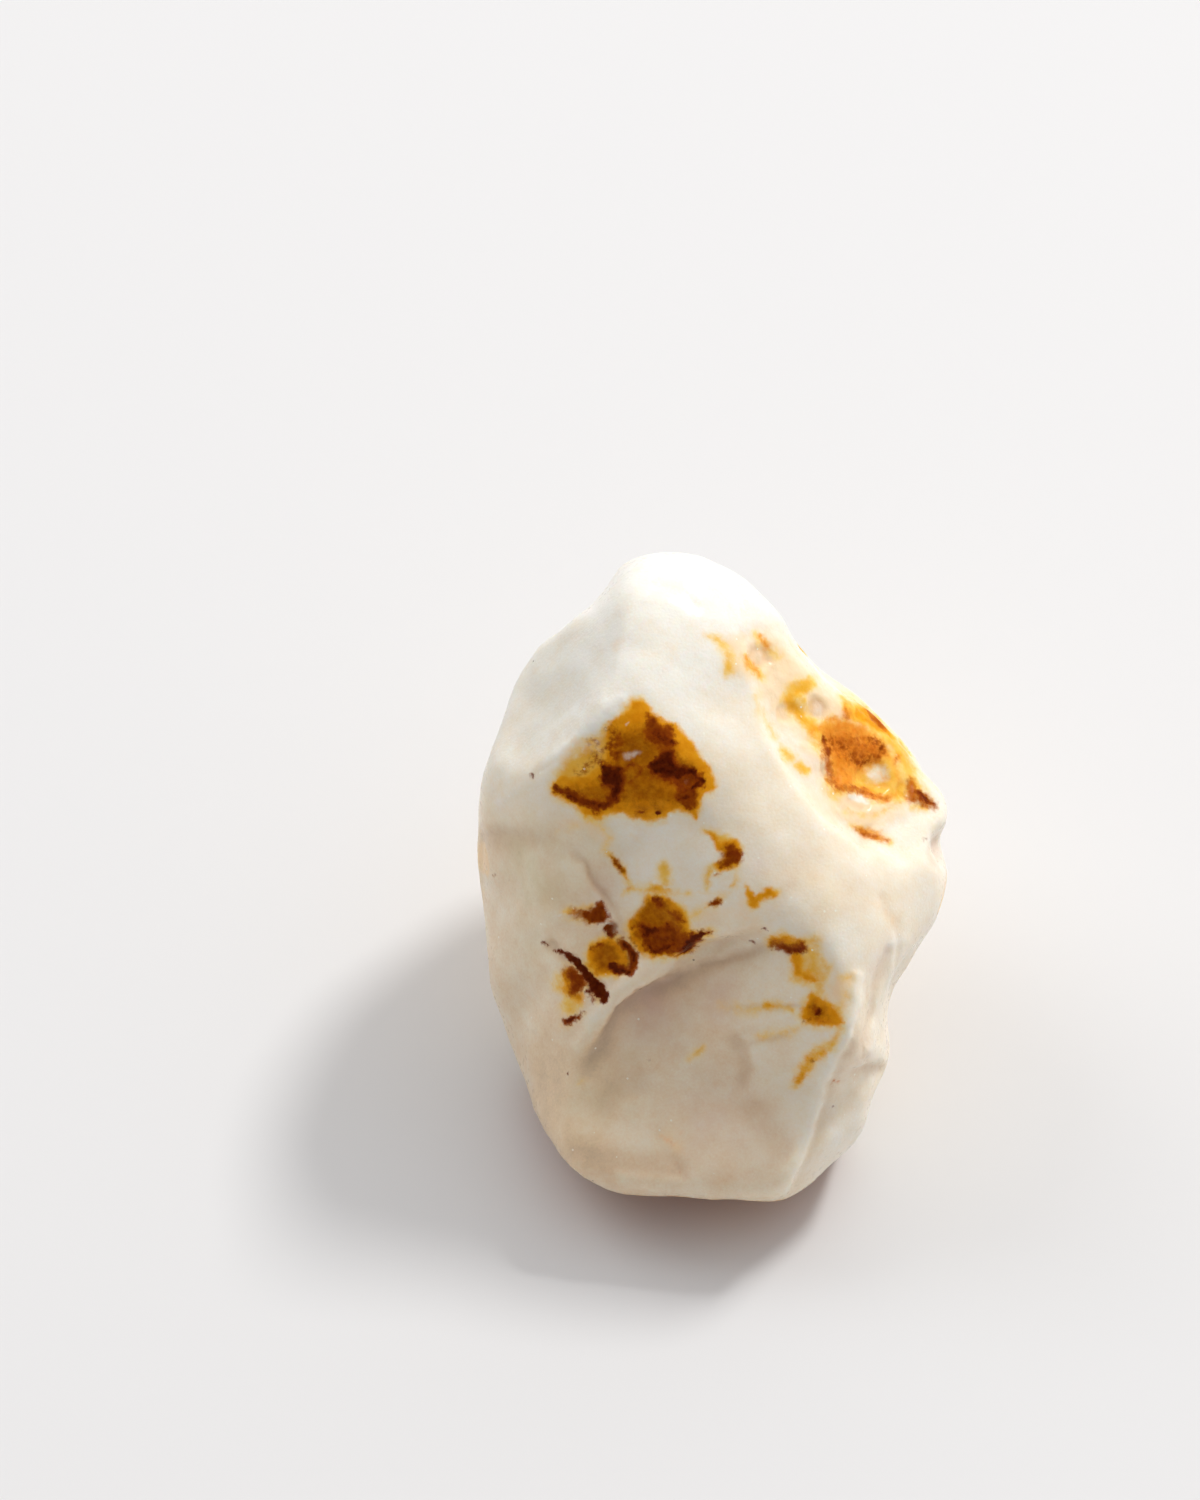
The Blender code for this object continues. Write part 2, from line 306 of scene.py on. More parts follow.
# Steps: picture points with the drop in mm on the side to the left of the way along them, then how wide the
# wall is and how far the sunk side takes to rise again, in px
reliefSteps = {
    "ledge": (((774, 938, 0), (750, 940, 0.14), (726, 948, 0.2), (700, 957, 0.3), (676, 967, 0.45), (656, 977, 0.6),
               (634, 989, 0.65), (614, 1005, 0.65), (598, 1027, 0.55), (586, 1049, 0.4), (574, 1078, 0)), 12, 70),
    "flankCrease": (((560, 843, 0), (576, 863, 0.2), (590, 882, 0.32), (601, 898, 0.3), (611, 915, 0.2),
                     (624, 944, 0)), 5, 30),
    "footFace": (((857, 976, 0), (856, 1000, 0.1), (851, 1020, 0.16), (841, 1043, 0.2), (831, 1062, 0.22),
                  (821, 1083, 0.24), (816, 1102, 0.24), (811, 1122, 0.24), (803, 1145, 0.24), (795, 1166, 0.2),
                  (782, 1190, 0.1)), 12, 46),
    "knuckle": (((896, 1060, 0.2), (884, 1062, 0.32), (870, 1061, 0.36), (858, 1063, 0.26), (846, 1068, 0)), 8, 26),
    "flankHollow": (((564, 838, 0), (545, 826, 0.2), (510, 822, 0.3), (476, 822, 0.3)), 16, 70),
    "ribDrop": (((814, 997, 0), (800, 999, 0.16), (775, 1001, 0.18), (745, 1003, 0.14), (718, 1006, 0)), 6, 18),
    "ribDropTwo": (((808, 1021, 0), (795, 1026, 0.14), (770, 1033, 0.18), (748, 1038, 0.14), (726, 1042, 0)), 6, 18),
    "cornerWall": (((796, 736, 0), (811, 745, 0.12), (820, 757, 0.2), (825, 775, 0.22), (827, 792, 0.18),
                    (838, 808, 0.08), (852, 818, 0)), 6, 40),
}

# Pits (-) and knobs (+): picture place, half-width, flank, height in mm
reliefSpots = {
    "whitePit": ((875, 774), 9, 6, -0.40), "cornerPit": ((835, 772), 6, 6, -0.28),
    "cornerKnob": ((850, 746), 7, 7, 0.18), "cornerKnobTwo": ((884, 742), 5, 5, 0.14),
    "upperPit": ((761, 656), 6, 6, -0.30), "upperKnob": ((745, 650), 3, 5, 0.10),
    "ringPit": ((819, 708), 6, 5, -0.28), "ringKnob": ((800, 700), 4, 5, 0.16),
    "stepPit": ((789, 712), 4, 5, -0.22), "lowPit": ((862, 800), 6, 5, -0.20),
    "tipPit": ((905, 788), 5, 5, -0.24), "underPit": ((868, 832), 4, 5, -0.16),
    "flankPit": ((610, 928), 4, 3, -0.30), "patchPit": ((635, 755), 6, 6, -0.16),
    "patchPitTwo": ((684, 776), 7, 5, -0.16), "patchKnob": ((650, 795), 10, 8, 0.08),
    "sprinklePit": ((592, 758), 5, 5, -0.16), "sprinklePitTwo": ((604, 742), 4, 4, -0.14),
    "bulge": ((655, 850), 16, 16, 0.10), "centrePit": ((660, 930), 10, 8, -0.10),
    "lowLump": ((628, 1126), 14, 16, 0.09), "lowLumpTwo": ((712, 1140), 12, 16, 0.07),
    "kneeLump": ((800, 1042), 8, 10, 0.08), "sideDip": ((858, 895), 10, 14, -0.10),
    "sideSwell": ((838, 950), 10, 14, 0.10), "sideSwellTwo": ((794, 914), 8, 10, 0.06),
    "starPit": ((818, 1010), 5, 6, -0.16), "darkPit": ((790, 946), 5, 5, -0.12),
}

# The broken corner: inside its outline the surface is sunk and rough
brokenCorner = {
    "outline": ((742, 628), (738, 650), (752, 680), (764, 700), (776, 732), (792, 758), (812, 778), (820, 800),
                (836, 822), (860, 840), (890, 846), (912, 822), (945, 815), (960, 790), (930, 740), (890, 690),
                (840, 650), (790, 625)),
    "wall": 18, "sunk": 0.16, "roughness": 0.08, "grainSize": 1.6,
}

surfaceGrain = {                # wavelength and height of the stone's own unevenness, in mm
    "swell": (4.2, 0.16), "ripple": (2.0, 0.07), "fine": (0.8, 0.022),
}
carving = {                     # how the drawn relief lies on the stone
    "facing": (0.04, 0.22),     # where it fades in, by how much the surface faces the camera
    "wobble": ((1.3, 3.0, (21.0, 57.0)), (0.5, 1.5, (23.0, 59.0))),     # see wobbleAt
    "stepFootShade": 0.7, "stepFootShadeWide": 0.8,   # painted shade at a step's foot, as shares of its drop and wall
}


def wobbleAt(points, waves):
    # shifts in px that roughen whatever is drawn: wavelength in mm, size in px, noise starts across and down
    return sum(size * np.stack([wavesAt(points, length, start) for start in starts], axis=1)
               for length, size, starts in waves)


def layOn(mesh, name, values):
    layer = mesh.attributes.new(name, "FLOAT", "POINT")
    layer.data.foreach_set("value", values.astype(np.float32))


def denseStone():
    rough = bpy.data.objects.new("roughStone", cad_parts["opal"].data.copy())
    bpy.context.scene.collection.objects.link(rough)
    dense = rough.modifiers.new("dense", "REMESH")
    dense.mode = "VOXEL"
    dense.voxel_size = stoneSet["grain"] * mm
    calm = rough.modifiers.new("calm", "SMOOTH")
    calm.factor = 0.5
    calm.iterations = stoneSet["calmPasses"]
    graph = bpy.context.evaluated_depsgraph_get()
    mesh = bpy.data.meshes.new_from_object(rough.evaluated_get(graph))
    bpy.data.objects.remove(rough)
    mesh.name = "opalStone"
    return mesh


def meshArrays(mesh):
    points = np.empty(len(mesh.vertices) * 3, np.float32)
    mesh.vertices.foreach_get("co", points)
    normals = np.empty(len(mesh.vertices) * 3, np.float32)
    mesh.vertices.foreach_get("normal", normals)
    return points.reshape(-1, 3).astype(float) / mm, normals.reshape(-1, 3).astype(float)


def refineAreas(mesh):
    # split the faces in the fine areas once
    points, normals = meshArrays(mesh)
    spots, facing = toPicture(points), facingCamera(points, normals)
    fine = np.zeros(len(points), bool)
    for outline in stoneSet["fineAreas"]:
        fine |= outlineGap(spots, outline) < 0
    fine &= facing > 0.0
    build = bmesh.new()
    build.from_mesh(mesh)
    build.verts.ensure_lookup_table()
    edges = [edge for edge in build.edges if fine[edge.verts[0].index] and fine[edge.verts[1].index]]
    bmesh.ops.subdivide_edges(build, edges=edges, cuts=1, use_grid_fill=True)
    bmesh.ops.triangulate(build, faces=[face for face in build.faces if len(face.verts) > 4])
    build.to_mesh(mesh)
    build.free()
    mesh.update()


def calmed(mesh, points, passes, weight):
    # neighbours averaged, by weight per point
    edges = np.empty(len(mesh.edges) * 2, np.int32)
    mesh.edges.foreach_get("vertices", edges)
    a, b = edges.reshape(-1, 2).T
    count = np.bincount(a, minlength=len(points)) + np.bincount(b, minlength=len(points))
    for _ in range(passes):
        total = np.stack([
            np.bincount(a, points[b, axis], len(points)) + np.bincount(b, points[a, axis], len(points))
            for axis in range(3)
        ], axis=1)
        points = points + (total / count[:, None] - points) * 0.5 * weight[:, None]
    return points


def calmAreas(mesh, points):
    # extra smoothing where a crease of the plain solid isn't wanted
    normals = meshArrays(mesh)[1]
    spots, facing = toPicture(points), facingCamera(points, normals)
    for passes, outline in stoneSet["calmAreas"].values():
        weight = smoothStep(*stoneSet["calmEdge"], outlineGap(spots, outline)) * (facing > -0.1)
        points = calmed(mesh, points, passes, weight)
    return points


def sculpt(points, normals):
    # how far each point moves along its normal in mm, and the painted shading: lighter on ribs (+), darker in hollows
    # (-)
    spots, facing = toPicture(points), facingCamera(points, normals)
    seen = smoothStep(*carving["facing"], facing)
    move = np.zeros(len(points))
    for index, (length, height) in enumerate(surfaceGrain.values()):
        move += height * wavesAt(points, length, 3.7 + 9.1 * index)
    bentSpots = spots + wobbleAt(points, carving["wobble"])
    drawn = np.zeros(len(points))
    for path, flank, height in reliefLines.values():
        drawn += height * np.exp(-(np.maximum(strokeGap(bentSpots, path), 0) / flank) ** 2)
    for place, width, flank, height in reliefSpots.values():
        gap = strokeGap(bentSpots, ((*place, width),))
        drawn += height * np.exp(-(np.maximum(gap, 0) / flank) ** 2)
    paintedShading = drawn.copy()
    for path, wall, reach in reliefSteps.values():
        side, drop = besidePath(bentSpots, path)
        drawn -= drop * smoothStep(0.0, wall, side) * np.exp(-(np.maximum(side, 0.0) / reach) ** 2)
        # painted shade at the foot of each step, in the colour only
        fromFoot = (side - wall) / (carving["stepFootShadeWide"] * wall)
        paintedShading -= carving["stepFootShade"] * drop * np.exp(-fromFoot ** 2)
    corner = outlineGap(bentSpots, brokenCorner["outline"])
    inside = smoothStep(brokenCorner["wall"] / 2, -brokenCorner["wall"] / 2, corner)
    crumble = roughAt(points, brokenCorner["grainSize"], 4, 5.0)
    drawn += inside * (brokenCorner["roughness"] * crumble - brokenCorner["sunk"])
    return move + seen * drawn, seen * paintedShading


def undercut(points):
    # the front edge drawn forwards and up, off the floor, along the way that the camera looks
    cut = stoneSet["undercut"]
    share = smoothStep(cut["fromY"], cut["toY"], points[:, 1])
    share = share * smoothStep(cut["fadeTo"], cut["fadeFrom"], points[:, 2])
    return points - cameraForward * (cut["lift"] * share)[:, None]


def buildStone():
    mesh = denseStone()
    points, normals = meshArrays(mesh)
    points = undercut(calmAreas(mesh, points))
    mesh.vertices.foreach_set("co", (points * mm).astype(np.float32).ravel())
    mesh.update()
    refineAreas(mesh)
    points, normals = meshArrays(mesh)
    lowest = points[:, 2].min()
    flat, carved = stoneSet["footKept"]
    foot = smoothStep(lowest + flat, lowest + carved, points[:, 2])
    points = calmed(mesh, points, stoneSet["lastPasses"], foot)
    move, paintedShading = sculpt(points, normals)
    points += normals * (move * foot)[:, None]
    points[:, 2] = np.maximum(points[:, 2], 0.0)
    mesh.vertices.foreach_set("co", (points * mm).astype(np.float32).ravel())
    mesh.update()
    # painted shading for the colour: lighter on ribs, darker in hollows and at the foot of steps
    layOn(mesh, "paintedReliefShading", paintedShading)
    stone = bpy.data.objects.new("opalStone", mesh)
    bpy.context.scene.collection.objects.link(stone)
    mesh.shade_smooth()
    return stone


stone = buildStone()
stone.data.calc_loop_triangles()
print("stage: stone shaped,", len(stone.data.loop_triangles), "triangles")

# Tones of the bare stone, pinned at picture places, partly its own colour and partly painted light and shade: whiter on
# the lit top, darker low down and under the ledge. 0 is dun, 1 is white, then the reach in mm
toneAndLightSpots = {
    "top": ((660, 600), 1.0, 4.0), "topRight": ((745, 600), 0.96, 3.5), "slopeHigh": ((720, 640), 0.94, 3.5),
    "shoulder": ((560, 680), 0.95, 4.0), "shoulderLow": ((520, 760), 0.86, 2.5),
    "shoulderFoot": ((535, 790), 0.78, 2.0),
    "slope": ((760, 790), 0.68, 4.0), "slopeLow": ((830, 880), 0.68, 4.0), "slopeUnder": ((770, 700), 0.8, 3.0),
    "bulge": ((665, 845), 0.74, 2.5), "flankHigh": ((530, 850), 0.42, 3.0), "flankLow": ((520, 960), 0.48, 4.0),
    "underLedge": ((660, 1000), 0.36, 3.0), "scoop": ((720, 1040), 0.46, 3.0), "scoopLow": ((650, 1100), 0.58, 4.0),
    "frontLow": ((700, 1170), 0.36, 4.0), "lowLeft": ((570, 1100), 0.16, 3.0), "rightSide": ((900, 900), 0.72, 3.0),
    "rightWaist": ((870, 1000), 0.68, 3.0), "knuckle": ((870, 1070), 0.64, 2.5), "foot": ((830, 1140), 0.85, 3.0),
    "centreRight": ((765, 980), 0.6, 2.5), "rightTip": ((935, 850), 0.8, 2.0),
}
# Soft washes of colour over the bare stone: picture place, strength, reach in mm
pinkSpots = {
    "underLedge": ((650, 1000), 0.9, 2.5), "scoopMiddle": ((720, 1000), 0.5, 2.0), "knuckle": ((860, 1060), 0.6, 1.6),
    "notch": ((935, 850), 0.7, 1.0), "waist": ((880, 960), 0.4, 1.6), "front": ((720, 1120), 0.5, 3.0),
    "slopeFleck": ((760, 865), 0.5, 0.8), "cornerFoot": ((850, 805), 0.7, 1.6), "middle": ((800, 870), 0.3, 2.0),
    "cornerWall": ((806, 760), 0.4, 1.2), "groove": ((600, 890), 0.5, 1.2), "left": ((520, 720), 0.15, 2.0),
}
greenSpots = {
    "flank": ((530, 870), 1.0, 3.0), "flankLow": ((530, 940), 0.5, 2.5), "lowLeft": ((600, 1100), 0.5, 3.0),
    "underPatch": ((600, 835), 0.7, 1.5), "shoulder": ((540, 700), 0.35, 4.0),
}
warmSpots = {
    "corner": ((860, 700), 0.9, 2.2), "cornerTop": ((790, 650), 0.7, 2.2), "tip": ((915, 770), 0.9, 1.6),
    "stripe": ((765, 720), 0.5, 1.6), "middle": ((820, 800), 0.5, 1.6), "patch": ((690, 830), 0.25, 1.6),
    "low": ((672, 1140), 0.35, 1.2), "slope": ((820, 880), 0.25, 2.0),
}

# Stains by paint, and in the pale paint also painted glints and painted light: softness of the edge in px, strength,
# then picture places. Places with a third number are a stroke with half-widths, places without one are the outline of a
# patch.
stains = {
    "peach": {
        "cornerWide": (10, 0.9, (
            (742, 640), (760, 630), (790, 650), (830, 688), (872, 716), (905, 755), (925, 795), (900, 815), (870, 826),
            (840, 818), (824, 795), (816, 762), (796, 738), (774, 716), (756, 690))),
        "upperRight": (8, 0.9, ((722, 640), (740, 632), (780, 660), (770, 690), (745, 680), (728, 676))),
        "cornerUnder": (6, 0.8, ((832, 808, 5), (856, 820, 6), (882, 824, 5), (900, 808, 3))),
        "wallTan": (4, 0.8, ((768, 702), (784, 699), (792, 712), (797, 722), (782, 718), (769, 713))),
        "wallTanTwo": (4, 0.7, ((803, 744, 3), (812, 752, 4), (820, 762, 3), (826, 778, 3), (828, 794, 3),
                                (838, 802, 2))),
        "patchSpeckled": (6, 1.0, ((577, 738), (600, 736), (608, 748), (600, 764), (582, 776), (560, 776), (562, 758))),
        "lowPeach": (7, 0.7, ((664, 1136, 3), (676, 1146, 4))),
        "underRight": (6, 0.5, ((876, 905, 3), (892, 918, 3), (894, 926, 2))),
        "columnGlow": (7, 0.8, ((836, 976), (853, 974), (850, 995), (845, 1010), (836, 1010), (828, 995))),
        "shoulderFleck": (5, 0.5, ((614, 646, 3), (620, 640, 2))),
        "centreRightTan": (9, 0.55, ((742, 905, 8), (752, 922, 8))),
        "linkTan": (7, 0.6, ((690, 916, 4), (712, 914, 6), (740, 912, 6))),
        "underPatch": (9, 0.7, ((566, 824, 5), (590, 822, 6), (606, 840, 7))),
    },
    "yellow": {
        "patchHalo": (6, 0.95, (
            (632, 699), (642, 697), (648, 702), (652, 711), (662, 720), (676, 728), (690, 742), (699, 755), (708, 766),
            (715, 782), (714, 792), (702, 796), (700, 812), (695, 820), (686, 812), (674, 812), (664, 820), (648, 823),
            (630, 819), (620, 812), (606, 818), (598, 824), (584, 818), (574, 806), (553, 797), (550, 788), (556, 773),
            (565, 763), (574, 752), (582, 739), (600, 734), (608, 724), (618, 714))),
        "olive": (5, 0.5, ((556, 832, 1), (576, 826, 2))),
        "oliveTwo": (6, 0.6, ((600, 824, 3), (608, 838, 4), (604, 850, 3))),
        "oliveThree": (4, 0.4, ((632, 836, 1), (640, 840, 1))),
        "thread": (4, 0.95, ((607, 853, 2), (614, 859, 3), (622, 869, 3.5), (627, 880, 2), (634, 889, 3),
                             (624, 893, 1))),
        "centreTop": (6, 0.95, ((663, 870, 7), (664, 882, 6))),
        "centreShoulder": (6, 0.9, ((634, 889, 2), (648, 890, 5), (660, 888, 6), (672, 894, 3), (690, 893, 1))),
        "centreHalo": (6, 0.9, (
            (645, 892), (664, 892), (680, 903), (692, 916), (694, 928), (714, 931), (714, 936), (698, 946), (690, 955),
            (668, 960), (646, 959), (634, 950), (627, 936), (626, 924), (634, 914), (641, 905))),
        "linkRight": (5, 0.65, ((692, 918, 4), (704, 908, 4), (716, 902, 5), (722, 897, 3))),
        "linkAcross": (4, 0.5, ((684, 895, 1), (712, 893, 1), (730, 893, 1), (744, 887, 1.5))),
        "blobTail": (4, 0.95, ((703, 829, 2), (710, 832, 4), (718, 838, 5), (726, 842, 7), (736, 850, 9), (732, 862, 8),
                               (718, 866, 5), (710, 867, 2))),
        "blobUnder": (4, 0.8, ((710, 868, 3), (706, 880, 3.5), (707, 890, 2))),
        "underTwo": (4, 0.7, ((736, 868, 3), (736, 878, 3), (733, 886, 3))),
        "underThree": (3, 0.5, ((714, 877, 1.5), (724, 872, 1.5))),
        "wing": (4, 0.95, ((746, 886, 2), (750, 896, 3.5), (754, 906, 4), (758, 900, 4), (766, 893, 4.5),
                           (775, 893, 4))),
        "leftGroup": (5, 0.95, (
            (588, 946), (598, 937), (607, 933), (616, 935), (624, 942), (630, 950), (634, 966), (626, 976), (608, 978),
            (596, 979), (587, 973), (583, 960))),
        "leftDot": (5, 0.75, ((564, 912, 3), (576, 908, 3), (590, 906, 3))),
        "leftUnderArm": (5, 0.7, ((566, 920, 2), (580, 919, 3), (590, 922, 2))),
        "paleLeft": (7, 0.75, (
            (551, 978), (564, 966), (576, 968), (586, 990), (584, 1004), (580, 1014), (566, 1020), (560, 1008),
            (564, 996), (554, 990))),
        "lowDash": (5, 0.7, ((562, 1026, 2), (570, 1021, 4), (584, 1013, 2))),
        "slashHalo": (3, 0.6, ((568, 962, 1), (578, 972, 2), (592, 992, 4), (598, 1000, 4))),
        "rightBar": (6, 0.95, ((772, 942, 5), (782, 938, 6), (796, 946, 7), (808, 942, 5), (818, 940, 3))),
        "rightGroup": (7, 0.8, (
            (800, 945), (818, 936), (824, 955), (830, 965), (830, 980), (824, 990), (826, 1000), (840, 1008),
            (846, 1020), (842, 1030), (806, 1028), (799, 1018), (802, 1004), (810, 990), (804, 985), (788, 980),
            (790, 958))),
        "rightPale": (6, 0.6, ((838, 978, 4), (850, 978, 2), (846, 995, 4), (844, 1004, 3))),
        "spotLeft": (5, 0.9, ((766, 1005, 4), (778, 1006, 4), (792, 1010, 3))),
        "lowerBand": (6, 0.8, ((838, 1034, 2), (828, 1048, 7), (812, 1058, 7), (804, 1070, 7), (796, 1086, 4))),
        "faintLow": (5, 0.8, ((692, 1058, 4), (702, 1048, 3))),
        "fleckLow": (3, 0.6, ((579, 1084, 1), (586, 1078, 1.2))),
        "creamBand": (8, 0.55, ((722, 1006, 3), (748, 1010, 5), (768, 1008, 4))),
        "creamBandTwo": (7, 0.62, ((760, 1036, 4), (785, 1034, 4), (798, 1028, 3))),
        "cornerStreak": (6, 0.9, ((708, 636, 2), (718, 640, 4), (726, 650, 4), (733, 660, 5), (728, 671, 4))),
        "streakCore": (5, 1.0, ((728, 660, 3), (728, 669, 6))),
        "cornerRight": (6, 0.9, ((755, 635, 3), (763, 641, 4), (770, 651, 4), (777, 655, 3))),
        "cornerLoop": (5, 0.9, ((745, 655, 2), (750, 667, 4), (762, 676, 4))),
        "cornerSweep": (6, 1.0, ((812, 682, 5), (795, 690, 10), (789, 700, 7), (797, 710, 7), (806, 720, 7),
                                 (818, 730, 8))),
        "cornerHook": (5, 0.7, ((804, 698, 4), (806, 710, 5), (810, 720, 4))),
        "edgeBand": (6, 1.0, ((842, 698, 3), (856, 706, 5), (870, 716, 6), (882, 732, 7), (896, 746, 8), (906, 765, 8),
                              (914, 786, 7), (926, 802, 5))),
        "edgeTip": (5, 0.9, ((914, 806, 4), (926, 808, 3))),
        "innerBand": (6, 0.85, ((892, 768, 4), (898, 784, 5), (904, 796, 5))),
        "underCorner": (6, 0.6, ((846, 812, 2), (868, 818, 3), (892, 808, 2))),
        "underRust": (5, 0.9, ((852, 826, 2), (868, 832, 4), (890, 842, 3))),
        "stripe": (6, 0.55, ((756, 694, 3), (759, 710, 4), (770, 728, 4), (776, 737, 3))),
        "stripeTwo": (5, 0.9, ((782, 749, 4), (790, 757, 6))),
        "stripeThree": (4, 1.0, ((800, 765, 5), (806, 770, 5))),
        "cornerBody": (7, 0.9, (
            (806, 722), (834, 716), (860, 722), (884, 732), (896, 750), (904, 770), (912, 790), (904, 802), (880, 804),
            (850, 792), (834, 800), (826, 786), (828, 760), (812, 744))),
    },
    "ochre": {
        "patchBody": (3, 1.0, (
            (631, 701), (646, 700), (652, 711), (662, 719), (676, 724), (690, 738), (699, 753), (709, 766), (715, 780),
            (714, 791), (703, 795), (700, 808), (696, 819), (688, 812), (674, 811), (665, 818), (648, 821), (632, 819),
            (622, 812), (608, 814), (600, 820), (586, 816), (575, 806), (551, 794), (553, 782), (562, 776), (578, 778),
            (594, 772), (604, 758), (606, 742), (606, 728), (614, 720), (624, 713), (629, 707))),
        "thread": (2.5, 0.9, ((611, 857, 1), (616, 862, 3), (622, 870, 3), (627, 879, 1))),
        "threadNode": (3, 0.7, ((630, 888, 2.5),)),
        "centreTop": (4, 0.7, ((645, 892, 2), (656, 890, 4), (668, 890, 2))),
        "centrePatch": (3, 1.0, (
            (648, 893), (668, 897), (680, 907), (687, 916), (688, 930), (700, 933), (712, 933), (700, 938), (690, 953),
            (668, 957), (650, 957), (638, 951), (631, 940), (628, 926), (633, 917), (643, 908))),
        "centreRight": (3, 0.85, ((708, 906, 2), (718, 901, 4))),
        "blob": (3, 1.0, ((706, 832, 2), (713, 836, 3), (720, 846, 5), (732, 849, 10), (732, 860, 8), (720, 866, 5))),
        "blobUnder": (3, 0.6, ((709, 870, 2), (706, 884, 2))),
        "blobSpot": (3, 0.6, ((733, 885, 2.5),)),
        "wing": (3, 1.0, ((746, 887, 2), (751, 897, 4.5), (754, 904, 4), (759, 898, 4), (768, 892, 5), (773, 894, 4))),
        "leftPatch": (3, 1.0, (
            (588, 950), (598, 939), (608, 936), (618, 940), (626, 949), (630, 960), (624, 972), (604, 976), (594, 975),
            (587, 966))),
        "leftArm": (3, 0.8, ((570, 912, 2), (580, 912, 2), (592, 918, 6))),
        "leftLow": (4, 0.95, ((568, 974, 5), (568, 990, 6), (578, 998, 5))),
        "rightBar": (4, 0.95, ((774, 941, 5), (784, 940, 5), (800, 945, 6))),
        "rightColumn": (3, 0.95, ((797, 955, 6), (798, 972, 5), (808, 977, 4), (816, 980, 3))),
        "rightField": (5, 0.25, ((820, 962, 5), (824, 974, 4), (818, 984, 2))),
        "star": (3, 1.0, (
            (812, 990), (818, 996), (828, 1002), (838, 1011), (843, 1024), (832, 1027), (814, 1024), (802, 1020),
            (801, 1010), (808, 999))),
        "starArm": (3, 0.8, ((768, 1005, 2.5), (774, 1006, 2))),
        "lowerBand": (5, 0.8, ((824, 1050, 4), (810, 1060, 6), (803, 1070, 5), (798, 1082, 4))),
        "cornerSweep": (6, 0.5, ((800, 688, 4), (793, 696, 4), (790, 703, 3), (796, 712, 4), (806, 724, 5),
                                 (818, 732, 5))),
        "streakCore": (3, 0.45, ((728, 670, 2),)),
        "edgeYellow": (5, 0.45, ((880, 734, 4), (892, 746, 5), (900, 756, 4))),
        "cornerRight": (3, 0.35, ((761, 638, 1.5), (766, 644, 2))),
    },
    "orange": {
        "cornerMain": (5, 1.0, (
            (818, 724), (836, 718), (856, 722), (874, 732), (888, 744), (890, 758), (868, 764), (858, 776), (852, 788),
            (836, 790), (830, 776), (828, 756), (820, 740))),
        "spike": (4, 0.9, ((846, 704, 2), (847, 716, 6))),
        "loop": (3, 1.0, ((746, 657, 2), (751, 668, 3.5), (758, 674, 3))),
        "topSpot": (3, 1.0, ((760, 638, 3), (767, 646, 3.5))),
        "sweepEnd": (5, 0.7, ((812, 730, 4), (824, 726, 5))),
        "sweepTop": (4, 0.4, ((790, 698, 3), (786, 704, 2))),
        "swoosh": (3, 1.0, ((848, 786, 2), (862, 790, 3), (874, 797, 4), (886, 799, 4.5), (894, 794, 2))),
        "edgeInner": (4, 0.8, ((896, 756, 4), (895, 768, 3), (899, 784, 3))),
        "drop": (4, 0.8, ((911, 784, 3), (910, 798, 4))),
        "lowRust": (4, 0.9, ((853, 826), (864, 828), (874, 829), (890, 842), (876, 841), (862, 837))),
        "shellLine": (3, 0.5, ((852, 812, 1), (866, 815, 1), (882, 811, 1), (900, 802, 1))),
        "shellLineTwo": (3, 0.5, ((836, 800, 1), (846, 806, 1), (850, 812, 1))),
        "pitRim": (4, 0.5, ((868, 786, 1), (886, 786, 1.5), (893, 778, 1))),
        "columnLine": (2.5, 0.9, ((801, 971, 1.5), (807, 975, 2), (814, 978, 2.5))),
        "starLow": (4, 0.7, ((826, 1021, 3), (838, 1023, 3))),
        "blobRound": (3, 0.8, ((724, 846, 3), (734, 850, 7), (726, 864, 5))),
        "tip": (3, 0.6, ((632, 709, 1.5), (638, 706, 1.5))),
        "patchRight": (4, 0.5, ((684, 752, 3), (694, 766, 4))),
        "lowPeach": (4, 0.35, ((664, 1136, 2), (672, 1142, 3), (682, 1132, 1))),
    },
    "amber": {
        "patchInner": (6, 0.85, (
            (614, 733), (632, 728), (650, 720), (666, 732), (676, 744), (684, 758), (696, 772), (700, 786), (690, 800),
            (688, 806), (664, 804), (620, 806), (592, 806), (570, 794), (577, 786), (600, 782), (608, 765),
            (612, 748))),
        "bulb": (5, 0.6, (
            (622, 795), (626, 783), (640, 776), (658, 776), (672, 783), (678, 795), (672, 808), (655, 814), (638, 814),
            (626, 807))),
        "centre": (5, 0.95, (
            (648, 900), (668, 902), (680, 914), (684, 930), (690, 940), (684, 952), (660, 954), (642, 948), (634, 934),
            (634, 920), (640, 910))),
        "leftPatch": (4, 1.0, ((594, 950), (606, 942), (616, 946), (620, 958), (612, 970), (598, 972), (592, 962))),
        "star": (5, 0.8, ((814, 1000), (826, 1008), (832, 1018), (820, 1022), (808, 1018), (806, 1008))),
        "blob": (4, 0.9, ((721, 846), (732, 845), (739, 856), (731, 866), (720, 862))),
        "bar": (4, 0.95, ((773, 943, 3), (790, 947, 5), (803, 948, 5))),
        "thread": (3, 0.9, ((612, 857, 2), (618, 864, 3), (622, 871, 2.5))),
        "leftArm": (4, 0.95, ((572, 912, 3), (590, 916, 7), (600, 908, 5))),
        "ring": (3, 0.9, ((620, 942, 3), (630, 952, 5), (634, 964, 4), (620, 970, 5))),
        "slashDrop": (5, 0.95, ((568, 972, 5), (578, 984, 8), (574, 992, 6))),
        "smallRight": (3, 0.8, ((711, 905, 2), (719, 902, 3))),
        "cornerTip": (3, 1.0, ((910, 782, 4), (912, 797, 6), (924, 800, 6), (934, 806, 4))),
